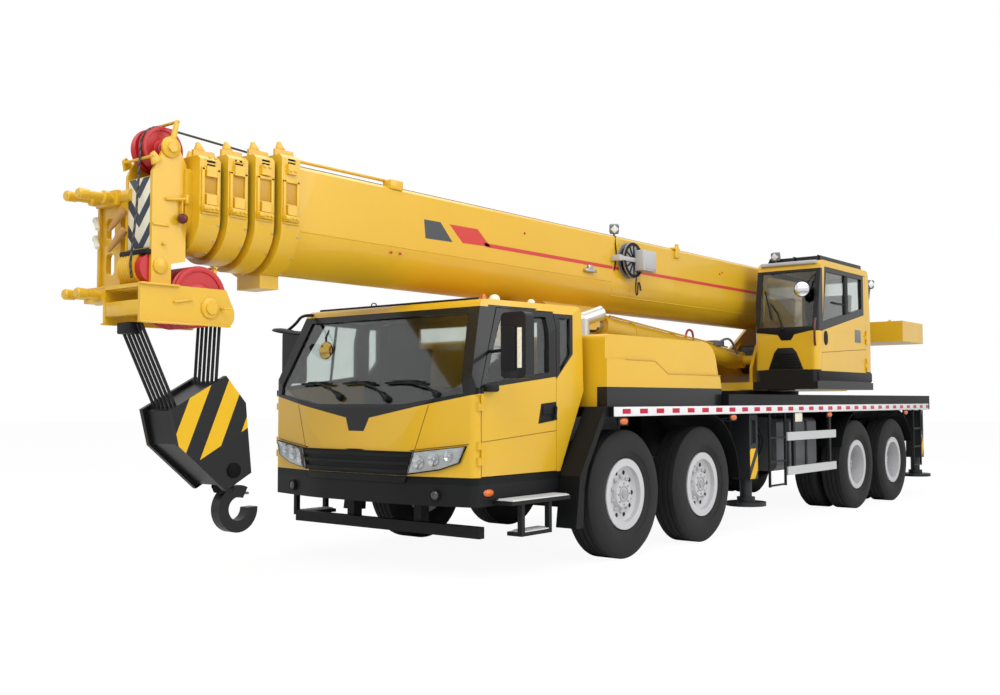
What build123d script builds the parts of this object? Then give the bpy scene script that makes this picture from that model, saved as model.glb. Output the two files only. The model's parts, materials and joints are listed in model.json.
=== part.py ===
import os
from math import atan2, cos, hypot, radians, sin

from build123d import *

# Four-axle truck crane: millimetres, X forward, Y left, Z up, ground at zero.
# Stations along the machine are measured forward from the first axle.

# fits
pin_clearance = 0.3
slide_clearance = 0.5
running_gap = 5

# widths, all set in from the edge of the deck
deck_half_width = 1375
cab_inset = 245
cover_inset = 75
box_inset = 305
step_inset = 65
front_wheel_inset = 220
dual_inset = 380
kingpin_offset = 230
cab_half_width = deck_half_width - cab_inset
cover_half_width = deck_half_width - cover_inset
box_half_width = deck_half_width - box_inset
step_y = deck_half_width - step_inset
front_wheel_y = deck_half_width - front_wheel_inset
dual_mid_y = deck_half_width - dual_inset
kingpin_y = front_wheel_y - kingpin_offset

# wheels
tyre_radius = 545
tyre_half_width = 150
tyre_bulge_radius = 425
tread_half_width = 108
shoulder_drop = 25
shoulder_inset = 18
bead_radius = 254
bead_half_width = 112
bead_lip = 8
flange_radius = 300
flange_thickness = 13
rim_wall = 16
dual_spacing = 340
hub_radius = 115
hub_back = 70
disc_offset = 50
disc_thickness = 16
disc_cone = 18
disc_edge_radius = 205
hub_step = 15
hub_cap_radius = 112
hub_cap_half = 105
hub_cap_thickness = 10
rear_hub_back = 120
rear_hub_reach = 190
rear_hub_taper = 40
rear_hub_end_radius = 95
rear_disc_half = 20
rear_disc_radius = 215
rear_disc_cone = 40

# axles
axle_gap_12 = 1365
axle_gap_23 = 3990
axle_gap_34 = 1315
kingpin_radius = 35
kingpin_eye_radius = 75
kingpin_eye_half = 90
yoke_thickness = 50
yoke_half = 70
yoke_back = 85
yoke_plate = 40
spindle_radius = 60
front_beam_half = 60
front_beam_depth = 120
front_beam_drop = 85
rear_tube_radius = 100
rear_tube_end = 140
differential_radius = 190
spring_y = 385
spring_half_width = 45
spring_half_length = 600
spring_seat = 40
leaf_depth = 60
leaf_rise = 25

# chassis
frame_half_width = 430
rail_thickness = 90
frame_tail = -7960
frame_low_end = 640
frame_nose = 1640
frame_bottom = 760
front_rail_bottom = 700
front_rail_top = 960
low_rail_bottom = 540
rail_lap = 30
cross_width = 120
cross_count = 5
engine_front = -120
engine_rear = -1400
engine_bottom = 800
engine_top = 1600

# deck
deck_rear = -8010
deck_front = 330
deck_step = -1740
deck_top = 1400
deck_thickness = 80
fascia_bottom = 1205
fascia_thickness = 40
front_deck_top = 1290
mudguard_radius = 668
mudguard_thickness = 6
mudguard_inner_y = 640
mudguard_inset = 45
skirt_toe = 820
skirt_bottom = 330
skirt_knee_z = 740
skirt_width = 100
skirt_gap = 8

# outriggers
box_front_station = -2400
box_rear_station = -7860
box_bottom = 830
box_height = 330
box_wall = 15
beam_width = 180
beam_side_gap = 8
beam_top_gap = 10
beam_wall = 14
column_width = 190
column_bottom = 520
column_top = 1195
jack_radius = 62
jack_length = 830
jack_bore_top = 25
jack_collar_radius = 93
jack_collar_height = 50
float_radius = 205
float_thickness = 40
float_bottom = 250

# engine cover
cover_top = 1900
cover_wall = 25
cover_rear = -1735
cover_shoulder = -1615
cover_shoulder_radius = 250
cover_front_radius = 50
cover_knee_z = 1470
cover_crease_z = 1690
cover_crease_low_z = 1580
cover_jog_front = -470
cover_jog_rear = -700
cover_crease = 18
rest_station = 60
rest_top = 2235
rest_half_width = 190
rest_half_length = 80
rest_pad = 60
rest_post_half = 65
exhaust_station = -60
exhaust_y = 800
exhaust_radius = 65
exhaust_bend_z = 2060
exhaust_reach = 190

# driver's cab
cab_front = 1935
cab_corner = 1800
cab_corner_radius = 70
cab_nose_half = 480
cab_nose_radius = 1500
cab_rear = 408
cab_bottom = 720
cab_top = 2120
cab_wall = 55
cab_floor_top = 775
cab_roof_line = 2060
cab_belt = 1440
cab_cowl_z = 1290
cab_cowl_set_back = 35
cab_nose_z = 1000
cab_nose_blend = 500
cab_roof_front = 1560
cab_side_lean = 150
cab_roof_rear = 431
cab_roof_radius = 75
cab_waist = 1420
arch_station = 745
arch_z = 770
door_front = 1740
door_front_top = 1420
door_rear = 790
door_gap = 6
window_margin = 50
windscreen_half = 1030
windscreen_dip = 80
windscreen_taper = 140
quarter_length = 135
rear_window_half = 700
glass_depth = 14
glass_thickness = 8
hinge_radius = 12
hinge_pin_radius = 6
hinge_half = 28
hinge_leaf = 45
hinge_sink = 30
hinge_low_z = 950
hinge_high_z = 1350
mirror_reach = 410
mirror_station = 1630
folded_mirror_station = 1300
mirror_width = 230
mirror_depth = 100
mirror_bottom = 1500
mirror_height = 480
mirror_round = 40
mirror_arm_z = 1710
mirror_arm_radius = 13
seat_y = 520
seat_station = 1070
seat_base_height = 225
seat_cushion = 120
seat_half_width = 250
seat_back_height = 680
seat_back_lean = 90
wheel_station = 1480
wheel_z = 1330
wheel_radius = 200
dash_front = 1780
dash_top = 1300
dash_half_width = 950

# cab front and steps
bumper_bottom = 560
bumper_thickness = 60
grille_bottom = 778
grille_top = 958
grille_half = 555
grille_flare = 56
grille_depth = 8
slat_depth = 24
slat_height = 26
slat_count = 3
lamp_depth = 12
lamp_low_y = 560
lamp_high_y = 617
lamp_outer_y = 1063
lamp_tip_z = 1010
lamp_gap = 10
fog_y = 802
fog_z = 640
fog_radius = 45
fog_depth = 15
underrun_inset = 93
underrun_station = 1590
underrun_bottom = 311
underrun_height = 87
underrun_depth = 60
hanger_width = 80
step_front = 1600
step_rear = 860
step_top = 600
step_thickness = 30
low_step_front = 1460
low_step_rear = 1080
low_step_top = 360
step_leg = 40

# ladders, guards and tanks
guard_front = -3120
guard_rear = -4480
guard_low_z = 580
guard_high_z = 950
guard_half_height = 45
guard_inset = 5
guard_post = 50
ladder_front = -2690
ladder_width = 390
ladder_bottom = 430
ladder_tube = 30
rung_radius = 11
rear_ladder_front = -7325
rear_ladder_width = 305
rung_pitch = 250
tank_front = -3250
tank_rear = -4350
tank_inner_y = 620
tank_outer_y = 1180
tank_bottom = 560
tank_top = 1150
tank_round = 80

# superstructure
slew_station = -4950
pedestal_radius = 660
pedestal_height = 55
spigot_radius = 180
race_inset = 40
table_front = -4350
table_rear = -7450
table_bottom = 1470
table_thickness = 90
table_plate_y = 345
table_plate_thickness = 40
cheek_margin = 180
rear_reach = 8450
counterweight_half_width = 1200
counterweight_bottom = 2170
counterweight_top = 2460
counterweight_round = 120
winch_z = 1890
winch_radius = 160
winch_flange_radius = 225
winch_flange = 30
winch_1_station = -5550
winch_2_station = -6350

# operator's cab
op_inner_y = 500
op_outer_y = 1290
op_front = -4170
op_rear = -5960
op_top = 3000
op_wall = 45
op_front_rake = 144
op_rear_rake = 114
op_round = 70
op_knee_z = 1700
op_sill = 2200
op_toe_gap = 140
op_window_margin = 60
op_window_head = 130
op_door_inset_front = 100
op_door_inset_rear = 220
op_door_bottom = 1650
op_door_head = 75
op_seat_station = -5310
op_seat_top = 2010
op_seat_back = 670
op_console_depth = 230
op_console_top = 2060
rack_inset = 100
rack_tube = 40
rack_height = 60

# boom
boom_half_width = 310
boom_axis_z = 2570
boom_top = 3020
boom_wall = 9
boom_step = 34
boom_chamfer = 24
boom_tail = -6950
collar_front = 2980
collar_pitch = 200
collar_length = 165
collar_rim = 50
collar_fin = 24
collar_fin_height = 45
adjuster_length = 80
adjuster_height = 70
adjuster_depth = 22
pad_half_width = 130
pad_depth = 70
section_tail_step = 200
pivot_station = -6750
pivot_z = 2620
pivot_radius = 60
pivot_boss_radius = 120
bracket_y = 100
bracket_thickness = 35
bracket_front = -340
bracket_rear = -1350
bracket_drop = 80
reel_station = -1600
reel_z = 2785
reel_radius = 185
reel_width = 80
reel_core = 110
reel_flange = 14

# boom head
head_rear = 3600
head_front = 3865
head_plate_y = 130
head_plate_thickness = 25
head_end_plate = 30
head_neck_z = 2235
top_sheave_station = 3735
top_sheave_z = 3000
top_sheave_radius = 150
top_sheave_width = 50
top_sheave_pitch = 90
lower_plate_y = 190
lower_front = 3980
lower_rear = 3260
lower_bottom = 1840
lower_top = 2090
lower_round = 70
rear_sheave_station = 3508
rear_sheave_z = 2034
rear_sheave_radius = 205
rear_sheave_width = 46
rear_sheave_pitch = 75
sheave_lip = 8
sheave_groove = 16
sheave_shaft = 38
guide_station = 3830
guide_z = 2200
guide_radius = 100
sign_bottom = 2330
sign_top = 2800
jib_plate_y = -450
jib_plate_width = 240
jib_plate_top = 2740
jib_arm_z = 2640
jib_slot_width = 100
jib_slot_height = 150
jib_slot_low_z = 2255
jib_slot_high_z = 2495
jib_pin_radius = 28
jib_pin_reach = 285
jib_pin_inset = 45
jib_foot = 100
front_reach = head_front + jib_pin_reach
axle_1_x = (rear_reach - front_reach) / 2

# lift cylinder
lift_base_station = -4700
lift_base_z = 1850
lift_eye_station = -1200
lift_eye_z = 2140
lift_barrel_radius = 118
lift_rod_radius = 80
lift_eye_radius = 72
lift_pin_radius = 55
lift_boss_wall = 45
lift_boss_half = 95
lift_gland = 3200
lift_gland_radius = 134
lift_gland_length = 110
lift_tail = 170

# hook block
hook_pivot_station = 3310
hook_pivot_z = 1880
hook_bar_radius = 18
hook_lean = 28
block_station = 3510
block_z = 1400
block_half_thickness = 150
block_top_half = 240
block_shoulder = 240
block_shoulder_half = 300
block_length = 690
block_foot_half = 120
block_core_inset = 25
cheek_thickness = 35
rope_radius = 11
rope_pitch = 48
rope_count = 6
rope_spread = 170
shank_radius = 55
shank_length = 780
hook_outer = 165
hook_inner = 82
hook_half_thickness = 45
hook_mouth_start = 118
hook_mouth_end = 178

far = 20000
parts = {}


def station(s):
    return axle_1_x + s


def span_box(x, y, z):
    size = [abs(b - a) for a, b in (x, y, z)]
    middle = [(a + b) / 2 for a, b in (x, y, z)]
    return Pos(*middle) * Box(*size)


def s_box(s, y, z):
    return span_box((station(s[0]), station(s[1])), y, z)


def both_sides(shape):
    return [shape, mirror(shape, about=Plane.XZ)]


def on_side(shape, side):
    return shape if side > 0 else mirror(shape, about=Plane.XZ)


def fuse(*shapes):
    return Part() + list(shapes)


def drawn(points, rounds=()):
    # closed outline with some of its corners rounded
    face = make_face(Polyline(*points, close=True))
    for corner, radius in rounds:
        face = fillet(face.vertices().sort_by_distance((*corner, 0))[0], radius)
    return face


def upright(face, y0, y1):
    # outline of (station, height) carried across the machine
    return extrude(Plane((axle_1_x, y1, 0), x_dir=(1, 0, 0), z_dir=(0, -1, 0)) * face, amount=y1 - y0)


def across(face, s0, s1):
    # outline of (width, height) carried along the machine
    return extrude(Plane((station(s0), 0, 0), x_dir=(0, 1, 0), z_dir=(1, 0, 0)) * face, amount=s1 - s0)


def standing(face, z0, z1):
    # outline of (station, width) carried upwards
    return extrude(Pos(axle_1_x, 0, z0) * face, amount=z1 - z0)


def prism_y(points, y0, y1):
    return upright(drawn(points), y0, y1)


def prism_x(points, s0, s1):
    return across(drawn(points), s0, s1)


def rod_y(s, z, radius, y0, y1):
    return Pos(station(s), (y0 + y1) / 2, z) * Rot(90, 0, 0) * Cylinder(radius, y1 - y0)


def rod_z(s, y, radius, z0, z1):
    return Pos(station(s), y, (z0 + z1) / 2) * Cylinder(radius, z1 - z0)


def rod_x(y, z, radius, s0, s1):
    return Pos(station((s0 + s1) / 2), y, z) * Rot(0, 90, 0) * Cylinder(radius, s1 - s0)


def rod_between(a, b, radius):
    start = Vector(station(a[0]), a[1], a[2])
    reach = Vector(station(b[0]), b[1], b[2]) - start
    return Solid.make_cylinder(radius, reach.length, Plane(start, z_dir=reach))


def turned(profile, s, y, z, side=1):
    # profile of (offset along Y, radius) turned about a cross shaft
    points = [(station(s) + r, y + side * a, z) for a, r in profile]
    return Solid.revolve(Face(Wire.make_polygon(points)), 360, Axis((station(s), y, z), (0, 1, 0)))


axle_station = [0, -axle_gap_12, -axle_gap_12 - axle_gap_23]
axle_station.append(axle_station[2] - axle_gap_34)


# wheels
def tyre(s, y):
    def at(offset, radius):
        return Vector(station(s) + radius, y + offset, tyre_radius)

    shoulder_y = tyre_half_width - shoulder_inset
    edges = [Edge.make_line(at(-bead_half_width, bead_radius), at(bead_half_width, bead_radius))]
    walls = []
    for k in (1, -1):
        bead = at(k * bead_half_width, bead_radius)
        lip = at(k * bead_half_width, flange_radius + bead_lip)
        shoulder = at(k * shoulder_y, tyre_radius - shoulder_drop)
        tread = at(k * tread_half_width, tyre_radius)
        wall = [Edge.make_line(bead, lip), Edge.make_line(shoulder, tread)]
        wall.insert(1, Edge.make_three_point_arc(lip, at(k * tyre_half_width, tyre_bulge_radius), shoulder))
        walls.append(wall)
    crown = Edge.make_line(at(tread_half_width, tyre_radius), at(-tread_half_width, tyre_radius))
    edges += walls[0] + [crown] + list(reversed(walls[1]))
    return Solid.revolve(Face(Wire(edges)), 360, Axis(at(0, 0), (0, 1, 0)))


def flange(centre, sign):
    inner = centre + sign * bead_half_width
    outer = inner + sign * flange_thickness
    return [(inner, bead_radius), (inner, flange_radius), (outer, flange_radius)]


def front_rim(s, y, side):
    bore = spindle_radius + pin_clearance
    barrel = bead_radius - rim_wall
    edge = bead_half_width + flange_thickness
    cap_inner = hub_cap_half - hub_cap_thickness
    face = disc_offset + disc_thickness
    ring = [(-hub_back, bore), (-hub_back, hub_radius), (disc_offset, hub_radius), (disc_offset, barrel)]
    ring += [(-edge, barrel)] + list(reversed(flange(0, -1))) + flange(0, 1)
    ring += [(edge, barrel), (face + disc_cone, barrel), (face, disc_edge_radius),
             (face, hub_radius + hub_step)]
    ring += [(hub_cap_half, hub_cap_radius), (hub_cap_half, 0), (cap_inner, 0), (cap_inner, bore)]
    return turned(ring, s, y, tyre_radius, side)


def rear_rim(s, side):
    bore = spindle_radius + pin_clearance
    barrel = bead_radius - rim_wall
    half = dual_spacing / 2
    inner_edge = half - bead_half_width - flange_thickness
    edge = half + bead_half_width + flange_thickness
    cone = rear_disc_half + rear_disc_cone
    cap_inner = rear_hub_reach - hub_cap_thickness
    ring = [(-rear_hub_back, bore), (-rear_hub_back, hub_radius + hub_step),
            (-rear_disc_half, hub_radius + hub_step)]
    ring += [(-rear_disc_half, rear_disc_radius), (-cone, barrel), (-edge, barrel)]
    ring += list(reversed(flange(-half, -1))) + flange(-half, 1) + [(-inner_edge, bead_radius)]
    ring += [(inner_edge, bead_radius)] + list(reversed(flange(half, -1))) + flange(half, 1)
    ring += [(edge, barrel), (cone, barrel), (rear_disc_half, rear_disc_radius)]
    ring += [(rear_disc_half, hub_radius + hub_step), (rear_hub_reach - rear_hub_taper, hub_radius)]
    ring += [(rear_hub_reach, rear_hub_end_radius), (rear_hub_reach, 0), (cap_inner, 0), (cap_inner, bore)]
    return turned(ring, s, side * dual_mid_y, tyre_radius, side)


def knuckle(s, side):
    eye_top = tyre_radius + kingpin_eye_half + running_gap
    eye_bottom = tyre_radius - kingpin_eye_half - running_gap
    inner = kingpin_y - kingpin_eye_radius
    back = (kingpin_y + yoke_back, kingpin_y + yoke_back + yoke_plate)
    top = s_box((s - yoke_half, s + yoke_half), (inner, back[1]), (eye_top, eye_top + yoke_thickness))
    bottom = s_box((s - yoke_half, s + yoke_half), (inner, back[1]),
                   (eye_bottom - yoke_thickness, eye_bottom))
    plate = s_box((s - yoke_half, s + yoke_half), back,
                  (eye_bottom - yoke_thickness, eye_top + yoke_thickness))
    pin = rod_z(s, kingpin_y, kingpin_radius, eye_bottom, eye_top)
    end = front_wheel_y + hub_cap_half - 2 * hub_cap_thickness
    spindle = rod_y(s, tyre_radius, spindle_radius, back[1], end)
    return on_side(fuse(top, bottom, plate, pin, spindle), side)


def leaf_pack(s, low, high):
    reach = spring_half_length
    seat = front_beam_half + spring_seat
    bend = reach / 2
    outline = [(s - reach, high - leaf_rise), (s - bend, low + leaf_rise), (s - seat, low), (s + seat, low)]
    outline += [(s + bend, low + leaf_rise), (s + reach, high - leaf_rise), (s + reach, high)]
    outline += [(s + bend, low + leaf_depth + leaf_rise), (s + seat, low + leaf_depth)]
    outline += [(s - seat, low + leaf_depth), (s - bend, low + leaf_depth + leaf_rise), (s - reach, high)]
    return both_sides(prism_y(outline, spring_y - spring_half_width, spring_y + spring_half_width))


def front_axle(s):
    beam_top = tyre_radius - front_beam_drop + front_beam_depth / 2
    beam_bottom = beam_top - front_beam_depth
    eye_low = tyre_radius - kingpin_eye_half
    eye_high = tyre_radius + kingpin_eye_half
    reach = kingpin_y - kingpin_eye_radius - yoke_thickness
    span = (s - front_beam_half, s + front_beam_half)
    neck = s_box(span, (reach - yoke_thickness, kingpin_y - kingpin_radius - running_gap),
                 (eye_low + running_gap, eye_high - running_gap))
    seat_top = beam_top + spring_seat
    seat_half = spring_half_width + 2 * running_gap
    seat = s_box((s - front_beam_half - spring_seat, s + front_beam_half + spring_seat),
                 (spring_y - seat_half, spring_y + seat_half), (beam_top, seat_top))
    shapes = [s_box(span, (-reach, reach), (beam_bottom, beam_top))]
    shapes += both_sides(neck) + both_sides(seat)
    shapes += both_sides(rod_z(s, kingpin_y, kingpin_eye_radius, eye_low, eye_high))
    shapes += leaf_pack(s, seat_top, front_rail_bottom)
    axle = fuse(*shapes)
    for bore in both_sides(rod_z(s, kingpin_y, kingpin_radius + pin_clearance, 0, 2 * tyre_radius)):
        axle -= bore
    return axle


def rear_bogie():
    inner = dual_mid_y - rear_tube_end
    end = dual_mid_y + rear_hub_reach - 2 * hub_cap_thickness
    shapes = []
    for s in axle_station[2:]:
        shapes.append(rod_y(s, tyre_radius, rear_tube_radius, -inner, inner))
        shapes.append(rod_y(s, tyre_radius, spindle_radius, -end, end))
        shapes.append(Pos(station(s), 0, tyre_radius) * Sphere(differential_radius))
    middle = (axle_station[2] + axle_station[3]) / 2
    reach = axle_gap_34 / 2 + rear_tube_radius
    low = tyre_radius + rear_tube_radius - 2 * hub_cap_thickness
    outline = [(middle - reach, low), (middle + reach, low), (middle + reach, low + spring_half_width)]
    outline += [(middle + rear_tube_end, frame_bottom), (middle - rear_tube_end, frame_bottom)]
    outline += [(middle - reach, low + spring_half_width)]
    shapes += both_sides(prism_y(outline, spring_y - spring_half_width, spring_y + spring_half_width))
    return fuse(*shapes)


hands = ((1, "left"), (-1, "right"))
for number, s in enumerate(axle_station[:2], 1):
    for side, hand in hands:
        parts[f"tyre_{number}_{hand}"] = tyre(s, side * front_wheel_y)
        parts[f"rim_{number}_{hand}"] = front_rim(s, side * front_wheel_y, side)
        parts[f"knuckle_{number}_{hand}"] = knuckle(s, side)
for number, s in enumerate(axle_station[2:], 3):
    for side, hand in hands:
        pair = [tyre(s, side * (dual_mid_y + k * dual_spacing / 2)) for k in (-1, 1)]
        parts[f"tyres_{number}_{hand}"] = fuse(*pair)
        parts[f"rim_{number}_{hand}"] = rear_rim(s, side)
parts["axles"] = fuse(front_axle(axle_station[0]), front_axle(axle_station[1]), rear_bogie())


# chassis
channel = beam_width + 2 * beam_side_gap
box_half_length = (2 * channel + 3 * box_wall) / 2
frame_top = deck_top - deck_thickness
rail_inner = frame_half_width - rail_thickness


def outrigger_envelope(s):
    return s_box((s - box_half_length, s + box_half_length), (-box_half_width, box_half_width),
                 (box_bottom, box_bottom + box_height))


def chassis_frame():
    rails = []
    for low, high, bottom, top in ((frame_tail, deck_step, frame_bottom, frame_top),
                                   (deck_step, frame_low_end, front_rail_bottom, front_rail_top),
                                   (frame_low_end - rail_lap, frame_nose, low_rail_bottom, cab_bottom)):
        rails += both_sides(s_box((low, high), (rail_inner, frame_half_width), (bottom, top)))
    pitch = (deck_step - cross_width - frame_tail) / cross_count
    for k in range(cross_count + 1):
        s = frame_tail + k * pitch
        rails.append(s_box((s, s + cross_width), (-rail_inner, rail_inner), (frame_bottom, frame_top)))
    rails.append(s_box((frame_nose - cross_width, frame_nose), (-rail_inner, rail_inner),
                       (low_rail_bottom, cab_bottom)))
    for s in (deck_step, deck_front - rail_thickness):
        post = s_box((s, s + rail_thickness), (rail_inner, frame_half_width),
                     (front_rail_top, fascia_bottom))
        rails += both_sides(post)
    frame = fuse(*rails)
    for s in (box_front_station, box_rear_station):
        frame -= outrigger_envelope(s)
    return frame


def mudguard(s, start, stop, outer_y):
    # arc plate about a wheel, angles up from the forward direction
    outer = mudguard_radius + mudguard_thickness
    ring = rod_y(s, tyre_radius, outer, mudguard_inner_y, outer_y)
    ring -= rod_y(s, tyre_radius, mudguard_radius, mudguard_inner_y, outer_y)
    wedge = [(s, tyre_radius)]
    for a in (start, (start + stop) / 2, stop):
        wedge.append((s + 2 * outer * cos(radians(a)), tyre_radius + 2 * outer * sin(radians(a))))
    return both_sides(ring & prism_y(wedge, mudguard_inner_y, outer_y))


def deck():
    edge = deck_half_width - fascia_thickness
    plate = s_box((deck_rear, deck_step), (-deck_half_width, deck_half_width), (frame_top, deck_top))
    riser = s_box((deck_step - fascia_thickness, deck_step), (-deck_half_width, deck_half_width),
                  (fascia_bottom, deck_top))
    riser -= s_box((deck_step - fascia_thickness, deck_step), (-frame_half_width, frame_half_width),
                   (0, frame_top))
    shapes = [plate, riser]
    shapes += both_sides(s_box((deck_rear, deck_step), (edge, deck_half_width), (fascia_bottom, frame_top)))
    wing = s_box((deck_step, deck_front), (rail_inner, deck_half_width), (fascia_bottom, front_deck_top))
    shapes += both_sides(wing)
    shapes.append(rod_z(slew_station, 0, pedestal_radius, deck_top, deck_top + pedestal_height))
    shapes += mudguard(axle_station[1], 90, 178, deck_half_width - mudguard_inset)
    shapes += mudguard(axle_station[2], 20, 90, edge + running_gap)
    shapes += mudguard(axle_station[3], 90, 160, edge + running_gap)
    heel = skirt_toe - skirt_width
    start = deck_front - 2 * running_gap
    skirt = [(start, fascia_bottom), (start, front_deck_top), (cab_rear - skirt_gap, front_deck_top)]
    skirt += [(skirt_toe - 60, skirt_knee_z), (skirt_toe, skirt_bottom), (heel, skirt_bottom)]
    skirt += [(heel - 20, skirt_knee_z - skirt_width), (heel - 70, skirt_knee_z + 60)]
    skirt += [(cab_rear - 3 * skirt_gap, fascia_bottom)]
    shapes += both_sides(prism_y(skirt, cab_half_width + skirt_gap, deck_half_width - fascia_thickness))
    return fuse(*shapes) - rod_z(slew_station, 0, spigot_radius + pin_clearance, deck_top,
                                 deck_top + deck_thickness)


def outrigger_boxes():
    shapes = []
    for s in (box_front_station, box_rear_station):
        box = outrigger_envelope(s)
        for sign in (1, -1):
            centre = s + sign * (channel + box_wall) / 2
            box -= s_box((centre - channel / 2, centre + channel / 2), (-box_half_width, box_half_width),
                         (box_bottom + box_wall, box_bottom + box_height - box_wall))
        shapes.append(box)
    return fuse(*shapes)


beam_bottom = box_bottom + box_wall + slide_clearance
beam_top = box_bottom + box_height - box_wall - beam_top_gap
column_inner = box_half_width + running_gap
column_outer = column_inner + column_width
column_mid = (column_inner + column_outer) / 2


def outrigger_beam(s, side):
    half = beam_width / 2
    tail = running_gap - box_half_width
    tube = s_box((s - half, s + half), (tail, column_inner), (beam_bottom, beam_top))
    tube -= s_box((s - half + beam_wall, s + half - beam_wall), (tail, column_inner),
                  (beam_bottom + beam_wall, beam_top - beam_wall))
    column = s_box((s - column_width / 2, s + column_width / 2), (column_inner, column_outer),
                   (column_bottom, column_top))
    column -= rod_z(s, column_mid, jack_radius + pin_clearance, column_bottom, column_top - jack_bore_top)
    return on_side(fuse(tube, column), side)


def jack(s, side):
    top = float_bottom + float_thickness
    rod = rod_z(s, column_mid, jack_radius, top, top + jack_length)
    collar = rod_z(s, column_mid, jack_collar_radius, top, top + jack_collar_height)
    pad = rod_z(s, column_mid, float_radius, float_bottom, top)
    return on_side(fuse(rod, collar, pad), side)


parts["chassis_frame"] = chassis_frame()
parts["deck"] = deck()
parts["outrigger_boxes"] = outrigger_boxes()
parts["engine_block"] = s_box((engine_rear, engine_front), (-rail_inner, rail_inner),
                              (engine_bottom, engine_top))
for place, s in (("front", box_front_station), ("rear", box_rear_station)):
    for side, hand in hands:
        beam_s = s - side * (channel + box_wall) / 2
        parts[f"beam_{place}_{hand}"] = outrigger_beam(beam_s, side)
        parts[f"jack_{place}_{hand}"] = jack(beam_s, side)


# engine cover
def cover_hull(inset, narrow):
    front = deck_front - 4 * running_gap - inset
    top = cover_top - inset
    rear = cover_rear + inset
    shoulder = cover_shoulder + inset
    outline = [(front, front_deck_top), (front, top), (shoulder, top), (rear, cover_knee_z),
               (rear, front_deck_top)]
    face = drawn(outline, (((front, top), cover_front_radius - inset),
                           ((shoulder, top), cover_shoulder_radius)))
    return upright(face, narrow - cover_half_width, cover_half_width - narrow)


def engine_cover():
    cover = cover_hull(0, 0) - cover_hull(cover_wall, cover_wall + cover_crease)
    band = [(deck_front, cover_crease_z), (deck_front, cover_top), (cover_rear, cover_top)]
    band += [(cover_rear, cover_crease_low_z), (cover_jog_rear, cover_crease_low_z),
             (cover_jog_front, cover_crease_z)]
    strip = prism_y(band, cover_half_width - cover_crease, cover_half_width)
    for cut in both_sides(strip):
        cover -= cut
    post = s_box((rest_station - rest_post_half, rest_station + rest_post_half),
                 (-rest_post_half, rest_post_half),
                 (cover_top, rest_top - rest_pad))
    saddle = s_box((rest_station - rest_half_length, rest_station + rest_half_length),
                   (-rest_half_width, rest_half_width), (rest_top - rest_pad, rest_top))
    riser = rod_z(exhaust_station, exhaust_y, exhaust_radius, cover_top, exhaust_bend_z)
    bend = Pos(station(exhaust_station), exhaust_y, exhaust_bend_z) * Sphere(exhaust_radius)
    mouth = (exhaust_station - exhaust_reach, exhaust_y + exhaust_radius, exhaust_bend_z + exhaust_radius)
    outlet = rod_between((exhaust_station, exhaust_y, exhaust_bend_z), mouth, exhaust_radius)
    return fuse(cover, post, saddle, riser, bend, outlet)


parts["engine_cover"] = engine_cover()


# driver's cab
def cab_side(inset):
    cowl = cab_front - cab_cowl_set_back
    outline = [(cab_front, cab_bottom), (cab_front, cab_nose_z), (cowl, cab_cowl_z),
               (cab_roof_front, cab_top)]
    outline += [(cab_roof_rear, cab_top), (cab_rear, cab_waist), (arch_station, arch_z)]
    outline += [(arch_station + door_gap, cab_bottom)]
    rounds = [((cab_front, cab_nose_z), cab_nose_blend), ((cab_roof_front, cab_top), cab_roof_radius)]
    rounds += [((cab_roof_rear, cab_top), cab_roof_radius)]
    face = drawn(outline, rounds)
    return offset(face, amount=-inset, kind=Kind.INTERSECTION) if inset else face


def cab_plan(inset):
    w = cab_half_width
    outline = [(0, -w), (cab_corner, -w), (cab_front, -cab_nose_half), (cab_front, cab_nose_half)]
    outline += [(cab_corner, w), (0, w)]
    rounds = []
    for sign in (1, -1):
        rounds.append(((cab_corner, sign * w), cab_corner_radius))
        rounds.append(((cab_front, sign * cab_nose_half), cab_nose_radius))
    face = drawn(outline, rounds)
    return offset(face, amount=-inset, kind=Kind.INTERSECTION) if inset else face


def cab_lean(inset):
    # what the upper side loses as it leans in towards the windscreen
    rear = Vector(station(cab_roof_rear), cab_half_width, cab_top)
    belt = Vector(station(door_front), cab_half_width, cab_waist)
    corner = Vector(station(cab_roof_front), cab_half_width - cab_side_lean, cab_top)
    out = (corner - rear).cross(belt - rear)
    return Plane(rear, z_dir=out) * Pos(0, 0, far / 2 - inset) * Box(far, far, far)


def cab_hull(inset):
    # the side outline less what lies beyond the plan and the leaning sides
    beyond = Pos(0, 0, cab_top) * Box(2 * far, 2 * far, 2 * cab_top)
    beyond -= standing(cab_plan(inset), 0, 2 * cab_top)
    hull = upright(cab_side(inset), -deck_half_width, deck_half_width) - beyond
    for lean in both_sides(cab_lean(inset)):
        hull -= lean
    return hull


def front_skin(proud, zone):
    # what stands proud of the cab's front and corners inside a zone
    skin = standing(cab_plan(-proud), 0, cab_top) - standing(cab_plan(0), 0, cab_top)
    return skin & zone


def cab_zone(name, inset=0):
    high = cab_roof_line
    if name == "floor":
        outline = [(0, 0), (far, 0), (far, cab_floor_top), (0, cab_floor_top)]
    elif name == "roof":
        outline = [(0, high), (far, high), (far, far), (0, far)]
    elif name == "front":
        outline = [(far, cab_floor_top), (far, high), (door_front_top, high), (door_front, cab_belt)]
        outline += [(door_front, cab_floor_top)]
    elif name == "rear":
        outline = [(0, cab_floor_top), (door_rear, cab_floor_top), (door_rear, high), (0, high)]
    else:
        outline = [(door_rear + inset, cab_floor_top + inset), (door_front - inset, cab_floor_top + inset)]
        outline += [(door_front - inset, cab_belt), (door_front_top - inset, high - inset)]
        outline += [(door_rear + inset, high - inset)]
    return prism_y(outline, -far, far)


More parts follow.
